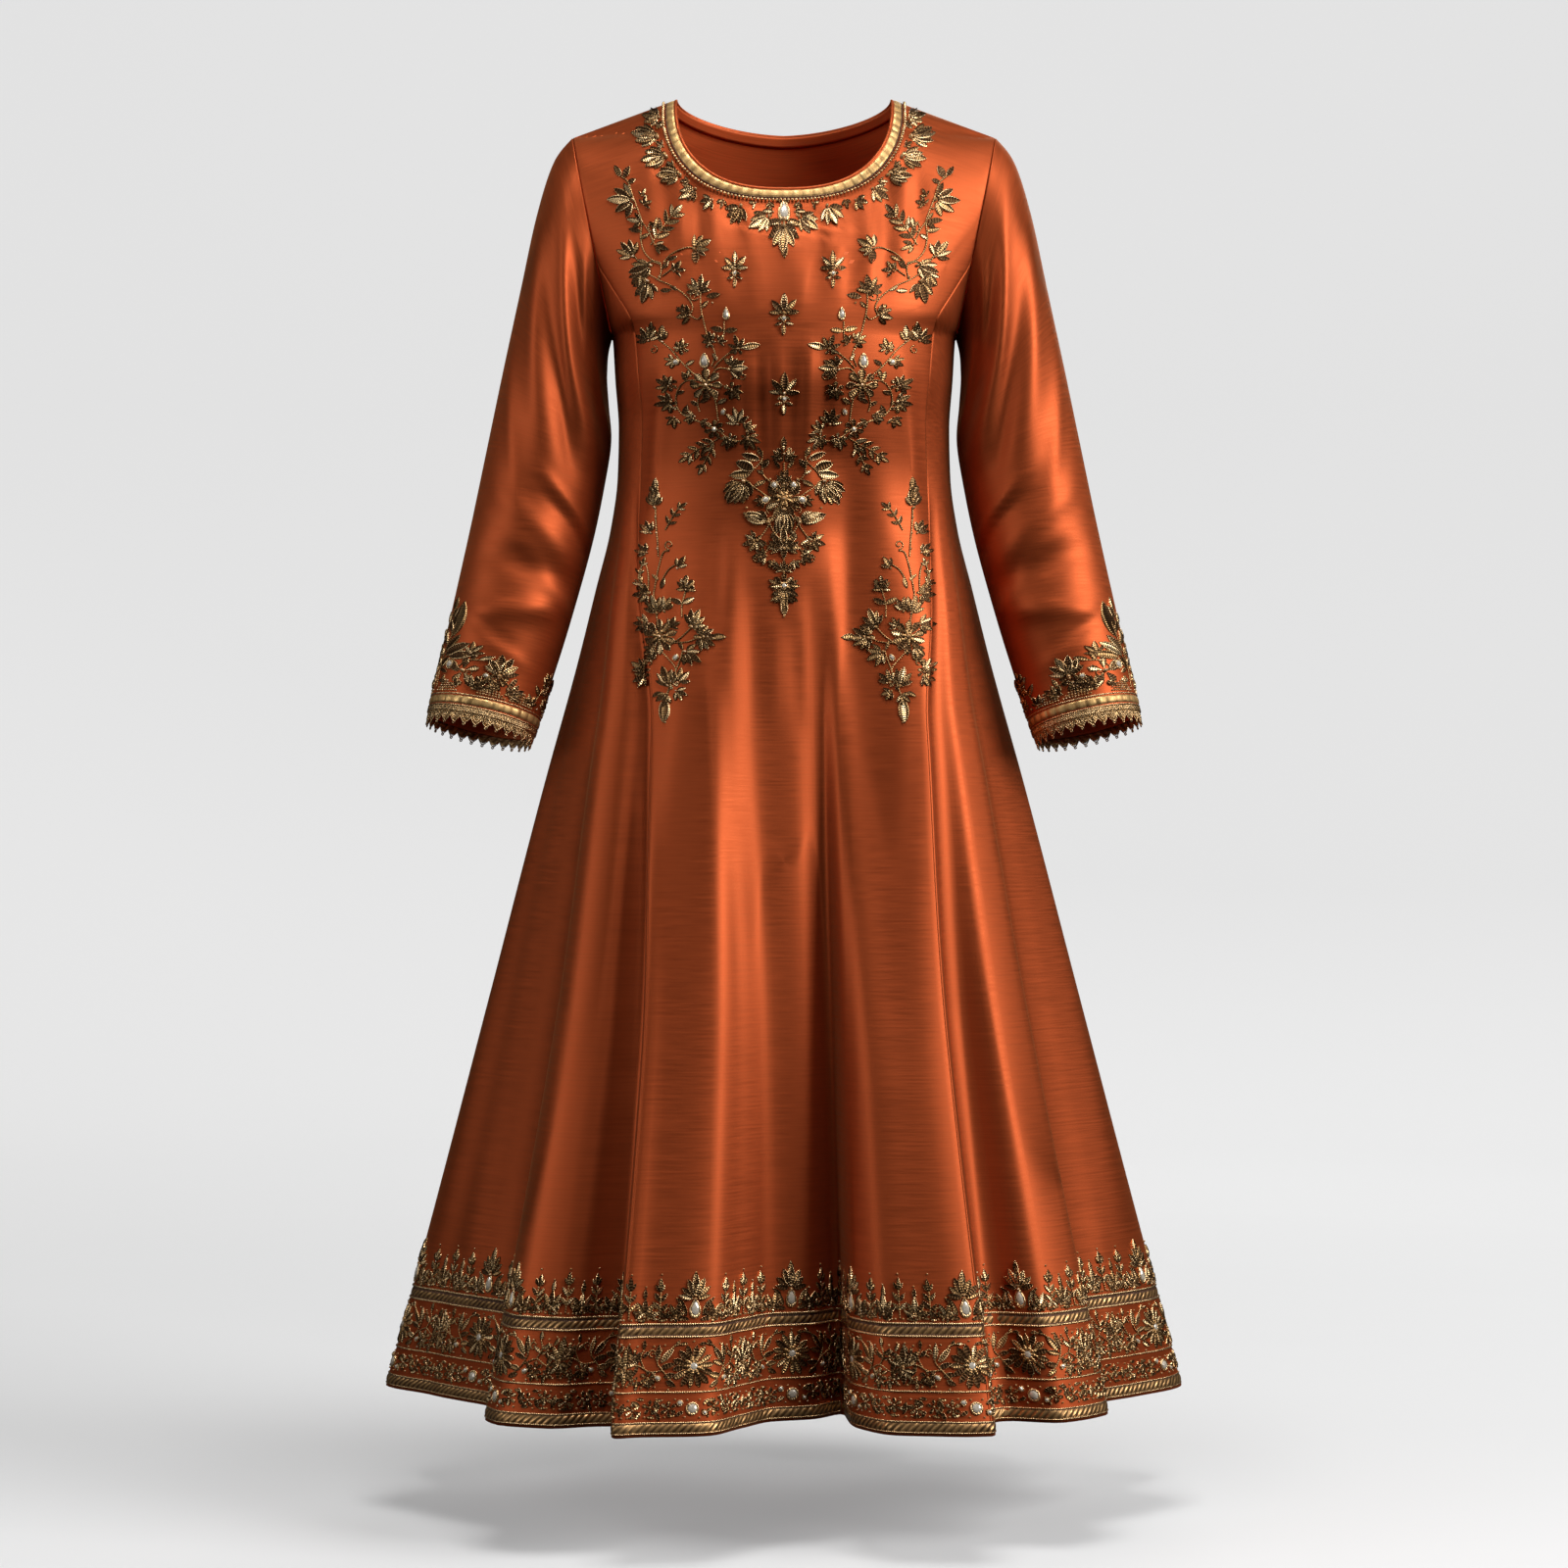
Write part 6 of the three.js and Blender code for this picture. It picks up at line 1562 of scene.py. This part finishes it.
class KURTI_OT_neckline(bpy.types.Operator):
    """Binds the neck with piping, a folded gilt ribbon and a beaded cord, and faces it inside"""
    bl_idname = "kurti.neckline"
    bl_label = "Neckline"

    def execute(self, context):
        inner, out = neck_ring(0.0)
        width = BAND_WIDTH - 0.34
        outer, out_far = neck_ring(width)
        out = unit(out + out_far)
        profile = [(-0.04, -0.9, 0), (-0.05, 0.1, 0), (0.02, 0.8, 0), (0.11, 0.9, 0), (0.2, 0.5, 0),
                   (0.22, 0.35, 1), (0.24, 0.75, 1), (0.38, 0.95, 1), (0.52, 1.0, 1), (0.66, 0.95, 1),
                   (0.78, 0.75, 1), (0.8, 0.3, 2), *cord_profile(0.86, 0.6, width, 2, 5), (0.94, 0.25, 0),
                   (1.0, 0.1, 0), (1.0, -1.2, 0), (0.5, -1.5, 0)]
        finishes = ("rust_dupion_silk", "gilt_ribbon", "dark_piping_and_groove_shade")
        band = swept("neck_band_ribbon", inner, outer, out, profile, finishes,
                     folded(context.scene.kurti_threads.ribbon_fold, 0.5))
        hang(band, "gold_ribbon", "neck_band")
        line, line_out = neck_ring(BAND_WIDTH + 0.7)
        bead_row("neck_bead_cord", line + line_out * 1.7, line_out, 3.3, 1.55, "bright_coil", "metal_thread")
        self.face_neck()
        return {"FINISHED"}

    def face_neck(self):
        """The strip that shows inside the back of the neck."""
        turns = np.linspace(84, -84, 120)
        rows = []
        for way in np.linspace(0.6, 8.5, 6):
            x, z = neckline(turns, False, way)
            rows.append(on_yoke(x, z, False))
        grid = np.stack(rows)
        out = grid_out(grid, grid * [0, 0, 1])
        grid = grid - out * (2.3 - 0.4 * np.linspace(1, 0, 6)[:, None, None])
        piece = cloth_shell("neck_facing_strip", grid, out, 0.7, grid_uv(grid), finish("rust_dupion_silk"))
        hang(piece, "silk", "neck_facing")


class KURTI_OT_cuffs(bpy.types.Operator):
    """Trims each cuff with cords, a folded gilt ribbon and pointed lace"""
    bl_idname = "kurti.cuffs"
    bl_label = "Cuffs"

    def execute(self, context):
        for name, side in (("left", 1), ("right", -1)):
            def surface(share, angle):
                return sleeve(side, share, angle)

            angle = np.linspace(0, 360, 300, endpoint=False)
            high, low = (1 - edge / SLEEVE_LENGTH for edge in CUFF_RIBBON)
            start, end = surface(high, angle), surface(low, angle)
            middle = (start + end).mean(0) / 2
            out = surface_out(surface, np.full_like(angle, 0.97), angle, *SLEEVE_STEPS, start - middle)
            width = CUFF_RIBBON[0] - CUFF_RIBBON[1]
            # mark 2, the dark piping finish, lies in the low steps beside the ribbon and cords as painted
            # shade
            profile = [(0, -0.3, 1), *cord_profile(0.05, 0.8, width, 1), (0.11, 0.3, 3), (0.15, 0.45, 3),
                       (0.19, 0.25, 2), (0.21, 0.8, 0), (0.33, 1.15, 0), (0.47, 1.25, 0), (0.61, 1.15, 0),
                       (0.72, 0.8, 0), (0.74, 0.25, 2), (0.78, 0.45, 3), (0.84, 0.3, 2),
                       *cord_profile(0.9, 0.8, width, 1), (0.96, 0.2, 2), (1.0, -0.3, 2)]
            band = swept("cuff_ribbon_" + name, start, end, out, profile,
                         ("gilt_ribbon", "bright_coil", "dark_piping_and_groove_shade", "rust_dupion_silk"),
                         folded(context.scene.kurti_threads.ribbon_fold, 0.5))
            hang(band, "gold_ribbon", "cuff_band_" + name)
            self.hang_lace(name, side, surface)
        return {"FINISHED"}

    def hang_lace(self, name, side, surface, teeth=30):
        """A crocheted edge: a header cord, and in each point an outer loop, an inner loop and a picot."""
        def place(angle, drop, out_by=0.0):
            angle, drop = np.broadcast_arrays(np.asarray(angle, float), np.asarray(drop, float))
            cuff, before = surface(1.0, angle), surface(0.97, angle)
            down = unit(cuff - before)
            out = surface_out(surface, np.full(angle.shape, 0.985), angle, *SLEEVE_STEPS, cuff - cuff_middle)
            return cuff + down * drop[..., None] + out * (out_by - 0.7)

        def on_cloth(angle, height):
            angle, height = np.broadcast_arrays(np.asarray(angle, float), np.asarray(height, float))
            point = surface(1 - height / SLEEVE_LENGTH, angle)
            return point + surface_out(surface, np.full(angle.shape, 0.985), angle, *SLEEVE_STEPS,
                                       point - cuff_middle) * 0.6

        cuff_middle = surface(1.0, np.arange(0, 360, 10.0)).mean(0)
        ring = np.linspace(0, 360, 120)
        paths = [on_cloth(ring, 6.8), on_cloth(ring, 3.6), on_cloth(ring, 0.6), place(ring, 1.4)]
        pitch = 360 / teeth
        t = np.linspace(-1, 1, 11)
        inner = np.linspace(0, 2 * np.pi, 9)
        for k in range(teeth):
            middle = (k + 0.5) * pitch
            paths.append(place(middle + t * pitch * 0.52, 3.6 + 5.8 * (1 - np.abs(t) ** 1.5)))
            paths.append(place(middle + t * pitch * 0.34, 1.8 + 4.9 * (1 - np.abs(t) ** 1.9), 0.4))
            paths.append(place(middle + 0.15 * pitch * np.cos(inner), 3.6 + 1.6 * np.sin(inner), 0.4))
            paths.append(place(middle + 0.1 * pitch * np.cos(inner), 10.3 + 1.1 * np.sin(inner), 0.1))
            for step in (0, 0.5):
                paths.append(on_cloth(middle + pitch * (step + 0.19 * np.cos(inner)),
                                      5.2 + 1.4 * np.sin(inner)))
                paths.append(on_cloth(middle + pitch * (step + 0.25 + 0.19 * np.cos(inner)),
                                      2.1 + 1.3 * np.sin(inner)))
        points, faces, uv = tubes(paths, 0.55, 4)
        thread_count = len(faces)
        around = np.arange(teeth * 8) * pitch / 8
        point_drop = 3.4 + 5.0 * (1 - np.abs((np.arange(teeth * 8) / 8 % 1) * 2 - 1) ** 1.5)
        outer = [on_cloth(around, height) for height in (7.3, 4.8, 2.4, 0.2)]
        outer += [place(around, point_drop * share) for share in (0.1, 0.4, 0.7, 1.0)]
        web = np.stack(outer)
        shell_out = unit(web - cuff_middle - (web - cuff_middle) * [0, 0, 1])
        web = np.concatenate([web, (web - shell_out * 0.5)[::-1]])
        rows, cols = web.shape[:2]
        closed = np.concatenate([web, web[:1]])
        web_faces = grid_faces(rows + 1, cols, 0, loop=True)
        web_faces = np.where(web_faces >= rows * cols, web_faces - rows * cols, web_faces) + len(points)
        down = np.cumsum(np.linalg.norm(np.diff(closed, axis=0), axis=-1).mean(1))
        web_uv = np.stack(np.broadcast_arrays((around * np.pi / 180 * 46)[None, :], down[:, None]),
                          -1).reshape(-1, 2) * MM
        points = np.concatenate([points, web.reshape(-1, 3)])
        if side > 0:
            web_faces = web_faces[:, ::-1]
        faces = np.concatenate([faces, web_faces])
        marks = (np.arange(len(faces)) >= thread_count).astype(int)
        lace = mesh_object("cuff_lace_thread_" + name, points, faces, np.concatenate([uv, web_uv]),
                           [finish("bright_coil"), finish("crochet_web")], marks)
        hang(lace, "gold_lace", "cuff_lace_" + name)


# low and high edge of each trim, above the hem
HEM_RIBBON, BORDER_RAIL, FINE_CORD = (2, 12), (77.5, 89.5), (34, 36)


def hem_rails(low, high, count=900):
    """Both edges of a trim round the hem, and its outward directions."""
    lane = ring_lanes(count)
    middle = np.full_like(lane, HEM_Z + (low + high) / 2)
    return body(lane, HEM_Z + high), body(lane, HEM_Z + low), skirt_out(lane, middle)


def ring_lanes(count):
    """Lanes that stand evenly round the hem."""
    lanes = np.linspace(-180, 180, 4001)
    points = body(np.clip(lanes, -180, 179.999), HEM_Z + 50)
    length = distances(points)
    return np.interp(np.arange(count) / count * length[-1], length, lanes)


def skirt_out(lane, z):
    """The skirt's outward direction."""
    return surface_out(body, lane, z, 0.12, 1.0,
                       np.stack([np.sin(np.radians(lane)), -np.cos(np.radians(lane)), 0 * lane + 0.3], -1))


class KURTI_OT_hem_trims(bpy.types.Operator):
    """Runs the gilt ribbon, the fine cord and the double-corded rail round the hem"""
    bl_idname = "kurti.hem_trims"
    bl_label = "Hem Trims"

    def execute(self, context):
        fold = context.scene.kurti_threads.ribbon_fold
        start, end, out = hem_rails(*HEM_RIBBON)
        width = 10.5
        # mark 2, the dark piping finish, lies in the low grooves inside both cords as painted shade
        ribbon = [(0, -0.3, 1), *cord_profile(0.08, 0.65, width, 1), (0.16, 0.2, 2), (0.2, 0.45, 0),
                  (0.36, 0.85, 0), (0.52, 0.95, 0), (0.68, 0.85, 0), (0.82, 0.45, 0), (0.86, 0.2, 2),
                  *cord_profile(0.93, 0.5, width, 1), (1.0, -0.3, 1)]
        hang(swept("hem_wave_braid", start, end, out, ribbon, ("wave_gimp", "bright_coil", "dark_piping_and_groove_shade"),
                   folded(fold * 0.4, 0.5)),
             "gold_ribbon", "hem_ribbon")
        start, end, out = hem_rails(*BORDER_RAIL)
        # mark 2, the dark piping finish, lies in the low channels inside both cords as painted shade
        rail = [(0, -0.3, 1), *cord_profile(0.08, 0.85, 12, 1), (0.17, 0.15, 2), (0.24, 0.2, 2),
                (0.32, 0.55, 0), (0.5, 0.75, 0), (0.68, 0.55, 0), (0.76, 0.2, 2), (0.83, 0.15, 2),
                *cord_profile(0.92, 0.85, 12, 1), (1.0, -0.3, 1)]
        hang(swept("border_corded_rail", start, end, out, rail, ("wave_gimp", "bright_coil", "dark_piping_and_groove_shade"),
                   folded(3.2, 0.6)),
             "gold_ribbon", "border_rail")
        start, end, out = hem_rails(*FINE_CORD)
        cord = [(-0.1, -0.3, 0), *cord_profile(0.5, 0.7, 2, 0, 5), (1.1, -0.3, 0)]
        hang(swept("border_fine_cord", start, end, out, cord, ("bright_coil",)), "metal_thread")
        return {"FINISHED"}


class KURTI_OT_chest_work(bpy.types.Operator):
    """Works the neck garland, the vines, the pendant and the four butis in raised metal thread"""
    bl_idname = "kurti.chest_work"
    bl_label = "Chest Work"

    def execute(self, context):
        ground = front_cloth()
        for name, side in (("right", 1), ("left", -1)):
            work = Needlework(11 + side, side)
            draw(work, UPPER_VINE)
            draw(work, MIDDLE_VINE)
            work.sew("zardozi_chest_vine_" + name, ground, "metal_thread", "chest_vine_" + name)
            work = Needlework(21 + side, side)
            draw(work, GARLAND)
            work.sew("zardozi_garland_" + name, ground, "metal_thread")
        butis = [(1, "top_right", -43.5, -153, 0.85), (2, "top_left", 43.5, -153, 0.85),
                 (3, "middle", 0, -193, 1), (4, "low", 0, -264, 1)]
        for seed, name, x, y, size in butis:
            work = Needlework(seed)
            draw(work, moved(BUTI, x, y, size))
            work.sew("zardozi_buti_" + name, ground, "metal_thread", "buti_" + name)
        work = Needlework(31)
        draw(work, NECK_DROP)
        work.sew("zardozi_neck_drop", ground, "metal_thread")
        work = Needlework(32)
        draw(work, PENDANT_MIDDLE)
        draw(work, PENDANT_SIDES)
        work.side = -1
        draw(work, PENDANT_SIDES)
        work.sew("zardozi_pendant", ground, "metal_thread", "pendant")
        return {"FINISHED"}


class KURTI_OT_hip_sprays(bpy.types.Operator):
    """Works the two tall sprays below the waist"""
    bl_idname = "kurti.hip_sprays"
    bl_label = "Hip Sprays"

    def execute(self, context):
        ground = front_cloth()
        for name, side in (("right", 1), ("left", -1)):
            work = Needlework(41 + side, side)
            draw(work, HIP_SPRAY)
            work.sew("zardozi_hip_spray_" + name, ground, "metal_thread", "hip_spray_" + name)
        return {"FINISHED"}


class KURTI_OT_hem_border(bpy.types.Operator):
    """Works the flowered border, its foot and its crests all round the skirt"""
    bl_idname = "kurti.hem_border"
    bl_label = "Hem Border"

    def execute(self, context):
        ground, total = hem_cloth()
        count = round(total / BORDER_REPEAT)
        pitch = total / count
        bands = [(51, "flowers", BORDER_FLOWER), (52, "foot", BORDER_FOOT), (53, "crests", BORDER_CREST)]
        for seed, name, chart in bands:
            work = Needlework(seed)
            for k in range(count):
                for kind, rows in chart.items():
                    if kind == "stems":
                        shifted = [[(x + k * pitch, y) for x, y in path] for path in rows]
                    else:
                        shifted = [(row[0] + k * pitch, *row[1:]) for row in rows]
                    draw(work, {kind: shifted})
                if name == "flowers":
                    work.bloom(k * pitch, 55, 17, 14, "stone", self.turn(k), 9)
            work.sew("zardozi_border_" + name, ground, "metal_thread")
        return {"FINISHED"}

    def turn(self, k):
        """Degrees that flower k is turned, so that neighbours differ."""
        return 7.0 * (k % 3)


class KURTI_OT_cuff_work(bpy.types.Operator):
    """Works leaves, flowers and bead mounds above both cuffs"""
    bl_idname = "kurti.cuff_work"
    bl_label = "Cuff Work"

    def execute(self, context):
        for name, side in (("left", 1), ("right", -1)):
            work = Needlework(61 + side)
            draw(work, CUFF_FRONT)
            draw(work, CUFF_BACK)
            for x in (34, 74, 100, 146, 186, 224, 262):
                bead_mound(work, x, 26.5, 22, 13)
            work.sew("zardozi_cuff_" + name, cuff_cloth(side), "metal_thread")
        return {"FINISHED"}


class KURTI_PT_workroom(bpy.types.Panel):
    """The kurti's sizes, colours and making steps"""
    bl_label = "A-line Kurti"
    bl_idname = "KURTI_PT_workroom"
    bl_space_type = "VIEW_3D"
    bl_region_type = "UI"
    bl_category = "Kurti"

    def draw(self, context):
        for group in GROUPS:
            box = self.layout.box()
            settings = getattr(context.scene, group)
            for name in settings.bl_rna.properties.keys():
                if name not in ("rna_type", "name"):
                    box.prop(settings, name)
        for step in STEPS:
            self.layout.operator(step.bl_idname)


GROUPS = {"kurti_cut": KurtiCut, "kurti_look": KurtiLook, "kurti_threads": KurtiThreads,
          "kurti_studio": KurtiStudio}
STEPS = [
    KURTI_OT_stage, KURTI_OT_body_panels, KURTI_OT_sleeves, KURTI_OT_neckline, KURTI_OT_cuffs,
    KURTI_OT_hem_trims, KURTI_OT_chest_work, KURTI_OT_hip_sprays, KURTI_OT_hem_border,
    KURTI_OT_cuff_work,
]


def register():
    for item in (*GROUPS.values(), *STEPS, KURTI_PT_workroom):
        bpy.utils.register_class(item)
    for name, group in GROUPS.items():
        setattr(bpy.types.Scene, name, PointerProperty(type=group))


def unregister():
    for name in GROUPS:
        delattr(bpy.types.Scene, name)
    for item in (KURTI_PT_workroom, *reversed(STEPS), *GROUPS.values()):
        bpy.utils.unregister_class(item)


def main():
    register()
    for step in STEPS:
        group, name = step.bl_idname.split(".")
        getattr(getattr(bpy.ops, group), name)()


if __name__ == "__main__":
    main()
